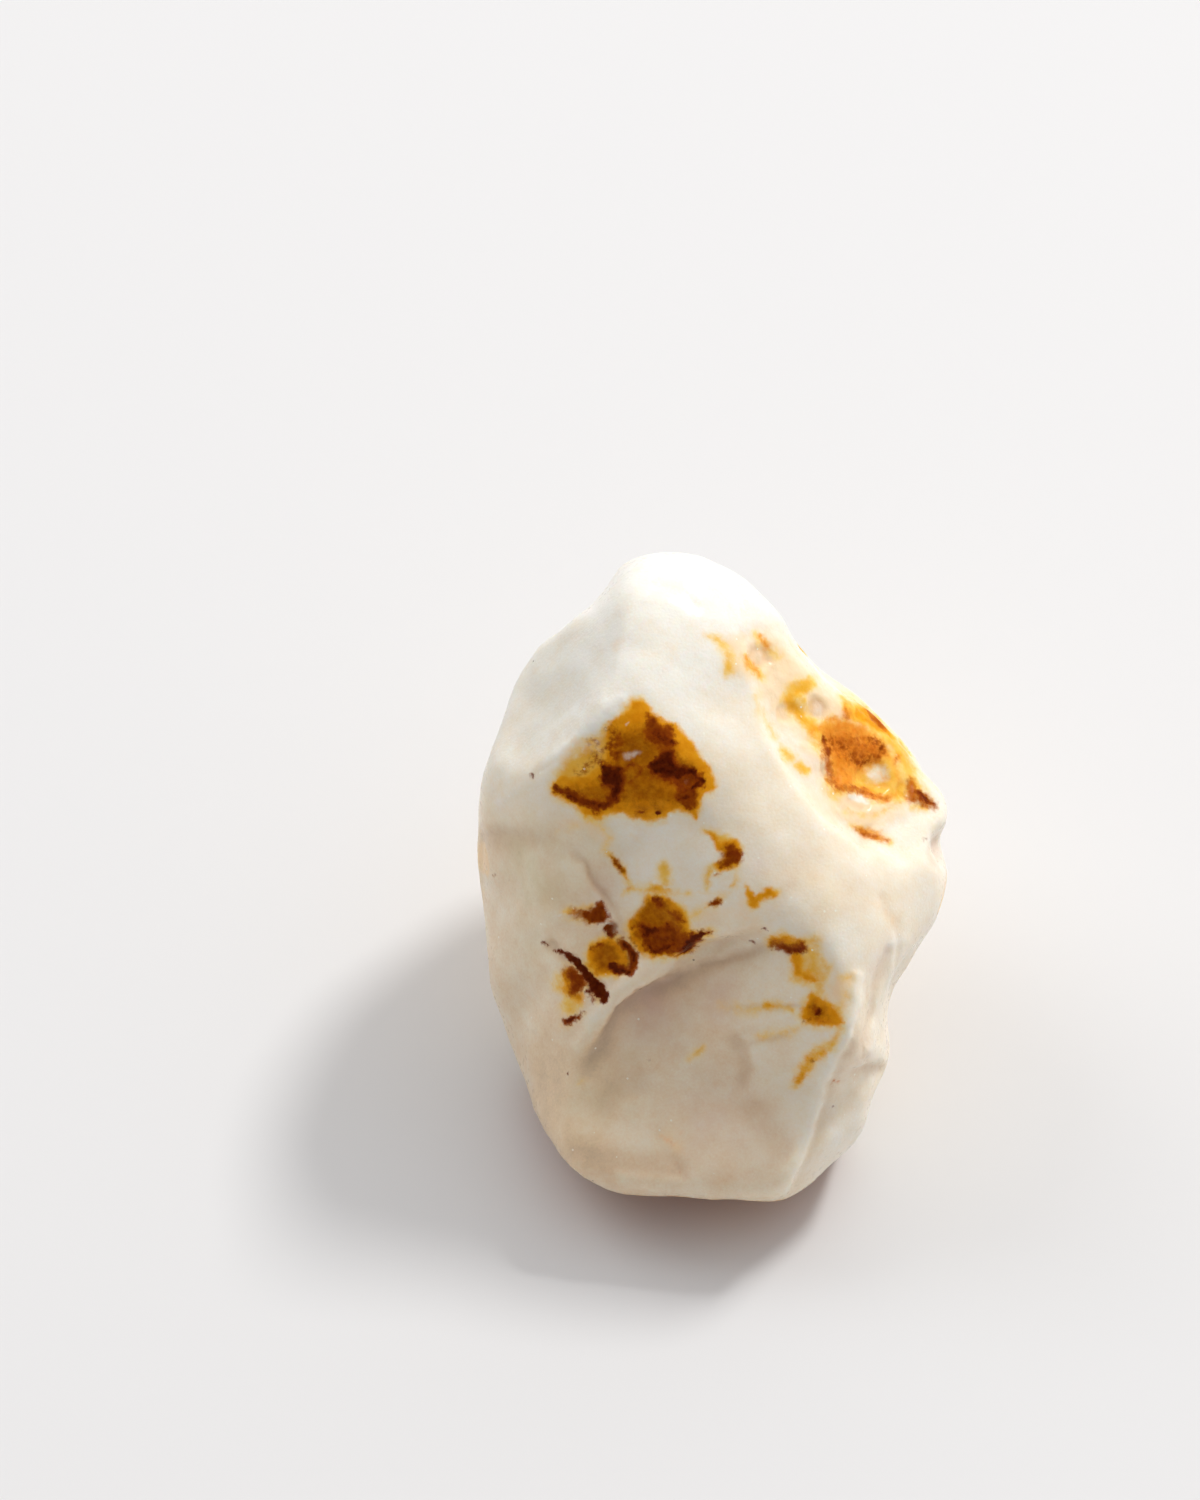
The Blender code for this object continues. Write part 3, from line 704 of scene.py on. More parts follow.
        "cornerLow": (4, 0.6, ((856, 829, 2), (868, 834, 4), (886, 841, 2))),
    },
    "rust": {
        "patchSpeckled": (6, 0.36, ((592, 742, 4), (600, 752, 5), (592, 764, 5), (576, 772, 4))),
        "field": (5, 0.8, (
            (822, 736), (838, 732), (850, 730), (866, 738), (880, 739), (888, 750), (884, 758), (868, 765), (858, 769),
            (846, 764), (838, 756), (828, 752))),
        "spike": (3, 0.75, ((848, 706, 1.5), (847, 716, 3.5))),
        "wallLine": (3, 1.0, ((824, 744, 4), (827, 754, 6), (829, 768, 4), (831, 780, 4), (838, 788, 4), (850, 788, 4),
                            (864, 791, 4))),
        "swoosh": (3, 0.85, ((858, 789, 4), (872, 796, 4), (886, 799, 3))),
        "blotch": (3, 0.6, ((843, 768, 2), (846, 776, 2))),
        "edgeSpot": (3, 0.75, ((898, 756, 2), (896, 762, 2.5))),
        "drop": (3, 0.9, ((910, 778, 2), (912, 790, 4), (911, 799, 4))),
        "tip": (3, 1.0, ((912, 790, 4), (920, 796, 4), (930, 804, 3))),
        "low": (3, 0.9, ((856, 829, 2), (868, 834, 3), (880, 839, 2), (887, 841, 1))),
        "leftArm": (2.5, 0.85, ((574, 912, 3),)),
        "leftPink": (3, 0.5, ((604, 906, 2), (610, 918, 2), (614, 930, 3))),
        "slashDrop": (4, 0.9, ((572, 972, 3), (578, 980, 6), (574, 988, 4))),
        "starEdge": (2.5, 0.5, ((804, 1020, 1.5), (814, 1019, 2), (836, 1023, 2))),
        "curl": (1.5, 0.8, ((832, 1085, 1), (833, 1081, 1.2), (838, 1081, 0.8))),
        "crackLow": (2, 0.4, ((668, 1138, 0.8), (676, 1160, 1), (684, 1180, 0.8))),
        "blobLine": (1.5, 0.6, ((714, 876, 0.8), (723, 872, 1))),
        "barTop": (3, 0.6, ((776, 940, 2), (786, 942, 2))),
    },
    "brown": {
        "patchUpper": (3, 0.9, (
            (647, 714), (655, 716), (660, 726), (668, 724), (675, 732), (674, 738), (677, 743), (670, 749), (656, 746),
            (646, 740), (644, 726))),
        "patchTan": (5, 0.42, ((592, 740, 4), (600, 752, 5), (590, 764, 4), (578, 772, 3))),
        "patchEdge": (3, 0.6, ((608, 730, 2), (616, 727, 2), (612, 738, 2))),
        "patchMottle": (3, 0.75, ((616, 733, 3), (620, 742, 3), (608, 748, 3), (616, 756, 4), (622, 752, 2))),
        "patchLink": (3, 0.85, ((664, 746), (672, 747), (678, 762), (692, 767), (704, 774), (704, 786), (696, 790),
                                (697, 804), (692, 811), (682, 806), (676, 800), (676, 786), (664, 780), (650, 776),
                                (648, 766), (656, 757))),
        "patchThreads": (3, 0.6, ((622, 770, 2), (630, 764, 2), (642, 768, 3), (636, 778, 2), (626, 784, 2))),
        "patchBulbEdge": (3, 0.35, ((626, 790, 1), (640, 780, 1), (655, 778, 1))),
        "patchLeft": (3, 0.95, (
            (599, 759), (604, 762), (614, 766), (624, 768), (626, 776), (624, 792), (616, 803), (604, 810), (594, 811),
            (578, 803), (566, 797), (554, 792), (556, 785), (568, 787), (577, 792), (592, 801), (604, 799), (611, 792),
            (603, 786), (600, 778), (602, 770))),
        "patchFoot": (3, 0.6, ((596, 813, 2), (602, 810, 3))),
        "patchLow": (3, 0.55, ((636, 814, 2), (644, 813, 2))),
        "threadHeart": (2.5, 0.8, ((615, 860, 1.5), (619, 867, 2.5))),
        "centreLower": (4, 0.85, (
            (636, 926), (646, 922), (656, 928), (668, 920), (676, 926), (684, 934), (700, 932), (712, 932), (700, 940),
            (692, 951), (678, 954), (656, 954), (646, 950), (640, 940))),
        "centreEast": (2.5, 0.8, ((671, 911, 1.5), (678, 917, 3), (684, 922, 1.5))),
        "centreWest": (2, 0.6, ((632, 926, 1.5), (630, 936, 1.5), (636, 945, 1.5))),
        "centreTop": (2.5, 0.85, ((656, 900, 4), (661, 904, 4))),
        "centreRight": (2.5, 0.9, ((711, 904, 2), (718, 902, 3))),
        "blobHeart": (3, 0.95, ((724, 848), (731, 842), (737, 848), (743, 854), (741, 862), (734, 865), (722, 867),
                                (720, 862), (726, 858))),
        "leftArm": (2.5, 0.95, ((580, 910), (590, 912), (597, 903), (602, 901), (607, 911), (610, 918), (600, 923),
                                (591, 924), (585, 918))),
        "glassPit": (2.5, 0.95, ((608, 928, 4), (612, 934, 4.5))),
        "leftMark": (2.5, 0.7, ((591, 950, 2), (602, 944, 2))),
        "ringEast": (2.5, 0.95, ((622, 942, 3), (629, 948, 3), (634, 955, 5), (634, 964, 3), (630, 972, 3),
                                 (616, 969, 5))),
        "slashDrop": (3, 1.0, ((572, 972, 4), (578, 982, 7), (574, 990, 5))),
        "lowDash": (2.5, 0.85, ((566, 1022, 3), (572, 1020, 3.5), (583, 1014, 1.5))),
        "slashInner": (3, 0.6, ((590, 996, 2), (594, 1001, 2))),
        "bar": (3, 0.75, ((773, 945, 2.5), (782, 946, 3.5), (793, 950, 5), (802, 947, 5))),
        "starHeart": (3, 0.6, ((816, 1011, 4),)),
        "starLine": (2, 0.6, ((804, 1021, 1), (810, 1018, 1.2))),
        "bandSpots": (2.5, 0.5, ((813, 1060, 2),)),
        "bandSpotTwo": (2.5, 0.4, ((802, 1076, 2),)),
        "wallDark": (2.5, 0.85, ((823, 738, 1.5), (826, 745, 1.5), (828, 753, 3))),
        "fieldMesh": (3, 0.55, ((832, 742, 2), (848, 750, 2.5), (856, 762, 3), (868, 759, 3), (876, 756, 2))),
        "fieldMeshTwo": (3, 0.62, ((872, 738, 2), (881, 746, 4), (878, 757, 2.5))),
        "dropFoot": (2, 0.8, ((912, 799, 2),)),
        "tip": (2.5, 0.9, ((916, 791), (921, 790), (927, 797), (935, 806), (924, 803), (917, 798))),
        "lowDark": (2, 0.35, ((862, 834, 1), (876, 838, 1))),
    },
    "dark": {
        "patchUpper": (2.5, 0.7, ((655, 732, 3), (662, 738, 4), (672, 741, 3))),
        "patchKnob": (2, 0.6, ((671, 727, 2),)),
        "patchHeart": (2.5, 1.0, (
            (648, 766), (656, 758), (666, 752), (672, 752), (676, 763), (684, 768), (694, 769), (695, 775), (686, 774),
            (678, 780), (668, 778), (654, 773))),
        "patchThread": (1.5, 0.8, ((650, 763, 1), (656, 757, 1.5))),
        "patchArm": (2, 1.0, ((694, 772, 2.5), (697, 780, 1.5), (704, 781, 2), (695, 785, 2), (691, 790, 1.5))),
        "patchRing": (2, 0.6, ((679, 780, 2), (682, 788, 2))),
        "patchLeg": (2, 0.6, ((680, 800, 2), (688, 796, 2), (692, 803, 2))),
        "patchLeft": (2.5, 1.0, (
            (600, 762), (608, 766), (622, 769), (620, 776), (622, 788), (616, 799), (611, 798), (613, 786), (603, 783),
            (601, 772))),
        "patchRim": (2.5, 0.8, ((556, 788, 2), (566, 794, 2.5), (578, 801, 2), (592, 804, 2.5), (603, 807, 3),
                                (612, 800, 2))),
        "patchTop": (2, 0.6, ((613, 734, 1.5), (614, 739, 2))),
        "patchMarks": (1.5, 0.7, ((628, 765, 1.5), (634, 764, 1.5))),
        "patchMarksTwo": (1.5, 0.7, ((641, 769, 1), (640, 773, 1))),
        "patchDot": (1.5, 1.0, ((658, 813, 2.5),)),
        "threadHeart": (1.5, 0.7, ((617, 863, 1.5),)),
        "centreTop": (2, 0.6, ((655, 899, 2), (660, 901, 3), (661, 905, 2))),
        "centreWest": (2.5, 0.9, ((641, 926, 2), (648, 930, 4), (657, 930, 2), (644, 936, 2.5))),
        "centreHeart": (2, 0.7, ((668, 924, 2), (670, 929, 1.5))),
        "centreFoot": (2, 0.85, ((649, 945, 1.5), (651, 951, 2), (659, 951, 2), (666, 947, 2.5), (674, 944, 1.5))),
        "centreTail": (2, 1.0, ((684, 950, 2), (689, 945, 4.5), (693, 938, 4), (701, 935, 3), (709, 933, 1))),
        "centreRed": (2, 0.7, ((676, 952, 1.5), (680, 951, 1.5))),
        "smallRight": (1.5, 0.6, ((714, 903, 1.2), (719, 901, 1.2))),
        "blobHeart": (2.5, 0.5, ((728, 848, 2), (736, 853, 3), (738, 860, 2))),
        "leftArm": (2.5, 0.45, ((586, 914, 1.5), (596, 915, 3), (598, 908, 2))),
        "glassPit": (2, 0.85, ((606, 930, 2), (611, 935, 3))),
        "ringEast": (2, 0.85, ((624, 943, 2), (634, 956, 3), (634, 960, 2))),
        "ringFoot": (2, 1.0, ((611, 966, 3.5), (618, 970, 4), (628, 973, 2.5))),
        "slash": (1.8, 1.0, ((554, 950, 0.8), (562, 952, 1.8), (568, 955, 2.5), (576, 961, 4), (584, 971, 4.5),
                             (591, 981, 5), (598, 988, 7), (603, 995, 6), (604, 1001, 3.5))),
        "slashStart": (1.5, 0.8, ((542, 941, 0.6), (547, 946, 1.5))),
        "slashArm": (2, 0.95, ((596, 989, 3), (586, 993, 1.5))),
        "slashDrop": (2.5, 0.6, ((575, 978, 2), (580, 984, 3))),
        "lowDash": (2, 0.85, ((567, 1022, 2.5), (571, 1020, 2.5), (578, 1016, 1))),
        "bar": (2.5, 0.6, ((775, 946, 1.5), (794, 951, 2.5), (802, 947, 3))),
        "starHeart": (2, 1.0, ((817, 1013, 2), (819, 1010, 2.5))),
        "wallDark": (2, 0.5, ((828, 752, 1.8),)),
        "tip": (1.5, 0.95, ((919, 793, 1.5), (925, 799, 2), (933, 805, 0.8))),
        "specks": (1.5, 0.9, ((532, 775, 1.5), (533, 779, 1))),
        "speckTwo": (1.5, 0.9, ((569, 1073, 1.2),)),
        "speckThree": (1.5, 0.8, ((648, 1060, 1.2),)),
        "speckFour": (1.5, 0.8, ((750, 941, 1), (755, 942, 0.8))),
        "speckFive": (1.5, 0.8, ((763, 929, 0.8), (767, 930, 0.8))),
        "speckSix": (1.5, 0.6, ((924, 839, 1.2),)),
        "speckSeven": (1.5, 0.7, ((832, 1106, 1.2),)),
        "speckEight": (1.5, 0.9, ((511, 879, 1.2),)),
        "speckNine": (1.5, 0.5, ((494, 875, 1.5),)),
    },
    "paleAndPaintedLight": {
        # pale spots of the stone itself, and painted glints: the tiny strokes on the patch's upper edge, in the glassy
        # pit and on the rib; patchTan here is painted light on a tan area left in shade
        "whitePit": (5, 0.62, ((864, 773), (872, 766), (885, 764), (890, 771), (888, 780), (878, 784), (867, 782))),
        "lightPit": (3, 0.8, ((852, 797, 3), (862, 799, 4), (868, 803, 2))),
        "ringPit": (4, 0.35, ((818, 704, 5), (820, 714, 6))),
        "loopPale": (4, 0.3, ((758, 656, 6),)),
        "patchTan": (6, 0.42, ((576, 756, 4), (584, 748, 6), (596, 742, 5), (600, 752, 3))),
        "patchLens": (3, 0.55, ((624, 753), (632, 751), (643, 752), (636, 756), (629, 761), (624, 758))),
        "patchGold": (2.5, 0.25, ((687, 781, 3),)),
        "patchPaintedGlints": (1.5, 0.7, ((615, 702, 1), (618, 708, 1), (619, 714, 1))),
        "patchPaintedGlintTwo": (1.2, 0.55, ((625, 724, 1), (628, 723, 1))),
        "patchPaintedGlintThree": (1.5, 0.8, ((601, 721, 1),)),
        "patchPaintedGlintFour": (1.5, 0.8, ((585, 733, 1),)),
        "patchPaintedGlintFive": (1.5, 0.7, ((573, 744, 1.2),)),
        "glassPaintedGlint": (1.2, 1.0, ((607, 924, 0.8), (611, 922, 0.8))),
        "glassPaintedGlintTwo": (1.2, 0.9, ((617, 927, 0.8), (619, 929, 0.8))),
        "glassLine": (1.2, 0.6, ((604, 907, 0.6), (607, 911, 0.6), (613, 923, 0.5))),
        "ribPaintedGlint": (1.5, 0.9, ((781, 991, 1.2),)),
        "ribPaintedGlintTwo": (1.5, 0.9, ((800, 988, 1.3),)),
        "ribPaintedGlintThree": (1.5, 0.8, ((791, 993, 1),)),
        "flankLine": (1.5, 0.6, ((554, 916, 0.8), (562, 915, 1), (568, 912, 0.6))),
    },
}

# Stains of the hidden sides: strokes near the stone's surface, (x, y, z) and half-width in mm
hiddenStains = {
    "peach": {
        "backSeam": ((-7, 13, 24, 1.2), (-3, 14, 18, 2.0), (2, 15, 15, 1.6), (7, 12, 11, 1.0)),
        "cornerBehind": ((13, 6, 28, 1.2), (14, 7, 25, 2.0), (13, 9, 21, 1.6)),
        "rightLow": ((14, -2, 14, 1.2), (14, 2, 11, 1.4)),
        "leftSeam": ((-14, 0, 15, 1.0), (-14, 5, 11, 1.6), (-11, 10, 9, 1.0)),
    },
    "yellow": {
        "backSeam": ((-6, 14, 23, 0.6), (-4, 14, 19, 1.2), (-1, 15, 16, 1.1), (4, 14, 14, 0.7)),
        "backBlot": ((5, 15, 20, 0.9), (7, 13, 22, 0.5)),
        "cornerBehind": ((13, 6, 27, 0.8), (14, 7, 25, 1.2), (14, 8, 22, 0.8)),
        "rightLow": ((14, -2, 13, 0.5), (14, 1, 11, 0.8)),
        "leftSeam": ((-14, 2, 14, 0.5), (-14, 5, 11, 0.9), (-12, 9, 9, 0.5)),
    },
    "ochre": {
        "backSeam": ((-5, 14, 21, 0.4), (-4, 14, 19, 0.9), (-1, 15, 16.5, 0.7)),
        "backBlot": ((5, 15, 20, 0.5),),
        "cornerBehind": ((13, 7, 26, 0.5), (14, 7, 24, 0.8)),
        "leftSeam": ((-14, 5, 11.5, 0.5), (-13, 7, 10, 0.4)),
        "rightLow": ((14, 1, 11.5, 0.4),),
    },
    "amber": {
        "backSeam": ((-4.5, 14, 20, 0.5), (-3.5, 14, 18.5, 0.6)),
        "cornerBehind": ((14, 7, 24.5, 0.4),),
    },
    "rust": {
        "cornerBehind": ((13.5, 7, 24.5, 0.5), (14, 8, 23, 0.3)),
        "backBlot": ((5, 15, 19.6, 0.35),),
        "backSeam": ((-4, 14, 19, 0.6), (-2, 14.5, 17, 0.4)),
    },
    "dark": {
        "backSeam": ((-4, 14, 19.5, 0.25), (-3, 14, 18, 0.4)),
        "leftSeam": ((-14, 5.5, 11.2, 0.3),),
    },
}

# The undercut below the front edge is stained too, a dark stain laid where there is only shade, to darken and warm the
# shadow on the floor below it: strength by paint
underShadeStain = {"peach": 0.9, "yellow": 0.9, "ochre": 0.8, "amber": 0.75, "rust": 0.65, "brown": 0.6}
# How much each paint spreads out at its edges
softer = {
    "peach": 1.5, "yellow": 1.5, "orange": 1.8, "ochre": 1.6, "amber": 1.6, "rust": 1.9, "brown": 1.7, "dark": 1.45,
    "paleAndPaintedLight": 1.3,
}
markSet = {
    "facing": (-0.12, 0.01),            # where the front's stains fade in, by how the surface faces the camera
    "wobble": ((0.5, 2.0, (61.0, 73.0)), (0.22, 1.3, (66.0, 78.0))),    # see wobbleAt
    "hiddenWobble": ((1.1, 0.35, 81.0), (0.45, 0.2, 87.0)),     # wavelength and size in mm, noise start
    "hiddenEdge": (0.35, -0.3),         # mm, the fade at the edges of the hidden sides' stains
    "hiddenToneAndLight": (0.45, 0.9), "hiddenHeights": (4.0, 30.0),    # tone of the hidden sides by height in mm, paler at the top partly as painted light
    "hiddenPull": 0.02,                 # how much that tone weighs beside a pinned one
    "washUneven": (0.85, 0.6, 2.5),     # share that is even, share that isn't, its size in mm
}
# Where the underside of the front edge is: how much it faces down, then limits along y, z and x in mm
underPlace = {"down": (-0.25, -0.6), "y": (-5.0, -10.0), "z": (6.5, 2.5), "x": (10.0, 6.0)}
underBlotch = (0.75, (2.4, 0.5, 91.0), (0.9, 0.3, 95.0))    # even share, then wavelength in mm, share, noise start


def pinOnStone(place, spots, facing, points):
    # the point of the stone that the camera sees at a picture place
    gap = np.hypot(*(spots - np.array(place)).T) + np.where(facing > 0.0, 0.0, 1e4)
    return points[gap.argmin()]


def washAt(points, spots, facing, pins, noiseStart):
    # soft blots around pinned places, uneven at their edges
    wash = np.zeros(len(points))
    for place, strength, reach in pins.values():
        gap = np.linalg.norm(points - pinOnStone(place, spots, facing, points), axis=1)
        wash = np.maximum(wash, strength * np.exp(-(gap / reach) ** 2))
    even, uneven, size = markSet["washUneven"]
    return wash * (even + uneven * roughAt(points, size, 4, noiseStart))


def toneAndLightAt(points, spots, facing):
    # the pinned tones, with their painted light and shade, blended over the stone; the hidden sides are paler towards
    # the top, partly as painted light
    height = smoothStep(*markSet["hiddenHeights"], points[:, 2])
    low, high = markSet["hiddenToneAndLight"]
    total = markSet["hiddenPull"] * (low + (high - low) * height)
    weight = np.full(len(points), markSet["hiddenPull"])
    for place, toneAndLight, reach in toneAndLightSpots.values():
        gap = np.linalg.norm(points - pinOnStone(place, spots, facing, points), axis=1)
        near = np.exp(-0.5 * (gap / reach) ** 2)
        total, weight = total + near * toneAndLight, weight + near
    return total / weight


def underEdge(points, normals):
    # the underside of the front edge, from 0 to 1, in blotches, where a dark stain darkens the shadow below
    even, *blotches = underBlotch
    under = even + sum(share * wavesAt(points, length, start) for length, share, start in blotches)
    under = np.clip(under, 0.0, 1.0)
    across, back, height = points.T
    for key, value in (("down", normals[:, 2]), ("y", back), ("z", height), ("x", across)):
        under = under * smoothStep(*underPlace[key], value)
    return under


def stainAt(spots, seen, points, shapes, hidden, ragged, spread):
    # how strongly each point is stained, from 0 to 1, with soft edges
    amount = np.zeros(len(spots))
    for soft, strength, places in shapes.values():
        soft = soft * spread
        gap = strokeGap(spots, places) if len(places[0]) == 3 else outlineGap(spots, places)
        amount = np.maximum(amount, strength * smoothStep(soft, -soft, gap))
    amount *= seen
    for path in hidden.values():
        # each place goes to the nearest point of the stone
        path = [(*points[np.linalg.norm(points - np.array(place[:3]), axis=1).argmin()], place[3]) for place in path]
        amount = np.maximum(amount, smoothStep(*markSet["hiddenEdge"], strokeGap(points, path) + ragged))
    return amount


def markStone(stone):
    points, normals = meshArrays(stone.data)
    spots, facing = toPicture(points), facingCamera(points, normals)
    # the tone layer holds painted light and shade as well as the stone's own tone
    layOn(stone.data, "toneAndLight", toneAndLightAt(points, spots, facing))
    for name, pins, start in (("pink", pinkSpots, 31.0), ("green", greenSpots, 37.0), ("warm", warmSpots, 43.0)):
        layOn(stone.data, name + "Wash", washAt(points, spots, facing, pins, start))
    seen = smoothStep(*markSet["facing"], facing)
    bentSpots = spots + wobbleAt(points, markSet["wobble"])
    ragged = sum(size * wavesAt(points, length, start) for length, size, start in markSet["hiddenWobble"])
    # the dark stain under the front edge, there to darken the shadow on the floor
    under = underEdge(points, normals)
    for name, shapes in stains.items():
        hidden = hiddenStains.get(name, {})
        amount = stainAt(bentSpots, seen, points, shapes, hidden, ragged, softer[name])
        layOn(stone.data, name + "Stain", np.maximum(amount, under * underShadeStain.get(name, 0.0)))


markStone(stone)
print("stage: stains marked")

# Finish of the stone: colours are linear, depth and tooth height in metres, other sizes in mm
opalFinish = {
    "dun": (0.66, 0.50, 0.34, 1), "beige": (0.84, 0.64, 0.43, 1), "cream": (0.90, 0.78, 0.60, 1),
    # the hollow colour is painted shade for hollows; the palest colour is also laid as painted glints and painted light
    "paleAndPaintedLight": (0.93, 0.90, 0.82, 1), "hollow": (0.50, 0.36, 0.26, 1),
    "pink": (0.70, 0.47, 0.40, 1), "green": (0.60, 0.55, 0.32, 1), "warm": (0.98, 0.74, 0.40, 1),
    "peach": (0.97, 0.66, 0.35, 1),
    "yellow": (0.96, 0.62, 0.11, 1), "yellowDeep": (0.88, 0.44, 0.015, 1),
    "orange": (0.94, 0.38, 0.045, 1), "orangeDeep": (0.80, 0.22, 0.012, 1),
    "ochre": (0.93, 0.43, 0.016, 1), "ochreDeep": (0.76, 0.28, 0.004, 1),
    "amber": (0.50, 0.155, 0.002, 1), "amberDeep": (0.33, 0.085, 0.0005, 1),
    "rust": (0.66, 0.18, 0.010, 1), "rustDeep": (0.40, 0.07, 0.003, 1),
    "brown": (0.32, 0.07, 0.001, 1), "brownDeep": (0.16, 0.020, 0.0005, 1),
    "dark": (0.13, 0.012, 0.0005, 1), "darkDeep": (0.05, 0.003, 0.0003, 1),
    "fleck": (0.16, 0.09, 0.05, 1), "glint": (0.98, 0.95, 0.84, 1),
    "roughness": (0.24, 0.40), "gloss": 0.04, "coat": (0.32, 0.0), "coatRoughness": 0.2,
    "glossPatch": 1.4, "toothSize": 0.22, "toothHeight": 0.00008, "bump": 0.2, "sparkle": 0.12,
    "depth": 0.0018, "depthColour": (1.0, 0.72, 0.45), "depthShare": 0.35,
    "clouding": ((2.2, 3.0, 0.30), (0.7, 5.0, 0.14), (0.16, 6.0, 0.20)),    # size, noise start, amount
    "ribLightHollowShade": 0.9,              # how much painted highlight the relief puts on ribs and painted shade in hollows
    "hollowing": (1.1, 0.45),       # how fast and how far hollows take the painted shade colour
    "washes": {"green": 0.4, "pink": 0.45, "warm": 0.55},
    "deeper": (0.75, 0.7),          # deep colour by how far inside the stain, and by its mottling
    "gapSize": 0.38,                # of the places where a paint is missing
    "specks": (0.6, {"Spacing": 1.3, "Reach": 0.06, "Share": 0.06}),
    "glints": (0.7, {"Spacing": 0.7, "Reach": 0.11, "Share": 0.16}),
    "dulling": ("orange", "ochre", "amber", "rust", "brown", "dark"),    # paints that take the gloss away
    "redder": ("brown", "dark"),    # paints that lie on a rust-red ground
}
# How each paint lies on the stone: raggedness, grain per mm, softness (0.5 is a full fade), cover, mottling size,
# and how much of it is missing in places
paintWays = {
    "peach": (1.2, 0.8, 0.5, 0.65, 1.6, 0.0), "yellow": (1.4, 1.2, 0.5, 0.97, 1.2, 0.0),
    "orange": (1.6, 1.6, 0.45, 0.95, 0.8, 0.25), "ochre": (1.5, 1.8, 0.42, 1.0, 0.7, 0.0),
    "amber": (1.6, 2.0, 0.45, 1.0, 0.5, 0.3), "rust": (2.0, 2.6, 0.42, 0.97, 0.4, 0.35),
    "brown": (2.0, 2.6, 0.42, 1.0, 0.35, 0.3), "dark": (1.8, 3.0, 0.40, 1.0, 0.3, 0.2),
    "paleAndPaintedLight": (1.0, 2.0, 0.42, 0.85, 0.5, 0.0),
}


def newGroup(name, inputs, outputs):
    # a shader node group with named sockets
    group = bpy.data.node_groups.new(name, "ShaderNodeTree")
    for label, kind, value in inputs:
        socket = group.interface.new_socket(label, in_out="INPUT", socket_type=kind)
        if value is not None:
            socket.default_value = value
    for label, kind in outputs:
        group.interface.new_socket(label, in_out="OUTPUT", socket_type=kind)
    return group, group.nodes.new("NodeGroupInput"), group.nodes.new("NodeGroupOutput")


def feed(tree, socket, value):
    # a socket gets a plain value or another node's output
    if isinstance(value, bpy.types.NodeSocket):
        tree.links.new(value, socket)
    else:
        socket.default_value = value


def mathNode(tree, operation, first, second):
    node = tree.nodes.new("ShaderNodeMath")
    node.operation = operation
    feed(tree, node.inputs[0], first)
    feed(tree, node.inputs[1], second)
    return node.outputs["Value"]


def stonePlace(tree):
    # object coordinates in mm
    place = tree.nodes.new("ShaderNodeTexCoord")
    scaled = tree.nodes.new("ShaderNodeVectorMath")
    scaled.operation = "SCALE"
    scaled.inputs["Scale"].default_value = 1 / mm
    tree.links.new(place.outputs["Object"], scaled.inputs[0])
    return scaled.outputs["Vector"]


def noiseNode(tree, scale, detail, roughness):
    node = tree.nodes.new("ShaderNodeTexNoise")
    for label, value in (("Scale", scale), ("Detail", detail), ("Roughness", roughness)):
        feed(tree, node.inputs[label], value)
    return node


def makeStainEdge():
    # a stain's soft amount turned into a mask with a ragged edge, and how deep inside the stain a point is
    group, given, out = newGroup(
        "stainEdge",
        (("Amount", "NodeSocketFloat", 0.0), ("Raggedness", "NodeSocketFloat", 1.0),
         ("Grain", "NodeSocketFloat", 1.2), ("Softness", "NodeSocketFloat", 0.4)),
        (("Mask", "NodeSocketFloat"), ("Depth", "NodeSocketFloat")))
    noise = noiseNode(group, given.outputs["Grain"], 5.0, 0.62)
    group.links.new(stonePlace(group), noise.inputs["Vector"])
    amount = given.outputs["Amount"]
    edgeOnly = mathNode(group, "MULTIPLY", mathNode(group, "SUBTRACT", 1.0, amount), amount)
    spread = mathNode(group, "MULTIPLY", mathNode(group, "MULTIPLY", edgeOnly, 4.0), given.outputs["Raggedness"])
    ragged = mathNode(group, "MULTIPLY", mathNode(group, "SUBTRACT", noise.outputs["Fac"], 0.5), spread)
    moved = mathNode(group, "ADD", amount, ragged)
    mask = group.nodes.new("ShaderNodeMapRange")
    mask.interpolation_type = "SMOOTHSTEP"
    group.links.new(moved, mask.inputs["Value"])
    group.links.new(mathNode(group, "SUBTRACT", 0.5, given.outputs["Softness"]), mask.inputs["From Min"])
    group.links.new(mathNode(group, "ADD", 0.5, given.outputs["Softness"]), mask.inputs["From Max"])
    group.links.new(mask.outputs["Result"], out.inputs["Mask"])
    depth = group.nodes.new("ShaderNodeMapRange")
    depth.inputs["From Min"].default_value = 0.45
    group.links.new(moved, depth.inputs["Value"])
    group.links.new(depth.outputs["Result"], out.inputs["Depth"])
    return group


def makeCloud():
    # uneven patches between 0 and 1, by size in mm
    group, given, out = newGroup(
        "cloudiness",
        (("Size", "NodeSocketFloat", 3.0), ("Contrast", "NodeSocketFloat", 2.0), ("Shift", "NodeSocketFloat", 0.0)),
        (("Mask", "NodeSocketFloat"),))
    shifted = group.nodes.new("ShaderNodeVectorMath")
    shifted.operation = "ADD"
    group.links.new(stonePlace(group), shifted.inputs[0])
    group.links.new(given.outputs["Shift"], shifted.inputs[1])
    noise = noiseNode(group, mathNode(group, "DIVIDE", 1.0, given.outputs["Size"]), 4.0, 0.6)
    group.links.new(shifted.outputs["Vector"], noise.inputs["Vector"])
    centred = mathNode(group, "SUBTRACT", noise.outputs["Fac"], 0.5)
    spread = mathNode(group, "MULTIPLY", centred, given.outputs["Contrast"])
    lifted = mathNode(group, "ADD", spread, 0.5)
    clamped = group.nodes.new("ShaderNodeClamp")
    group.links.new(lifted, clamped.inputs["Value"])
    group.links.new(clamped.outputs["Result"], out.inputs["Mask"])
    return group


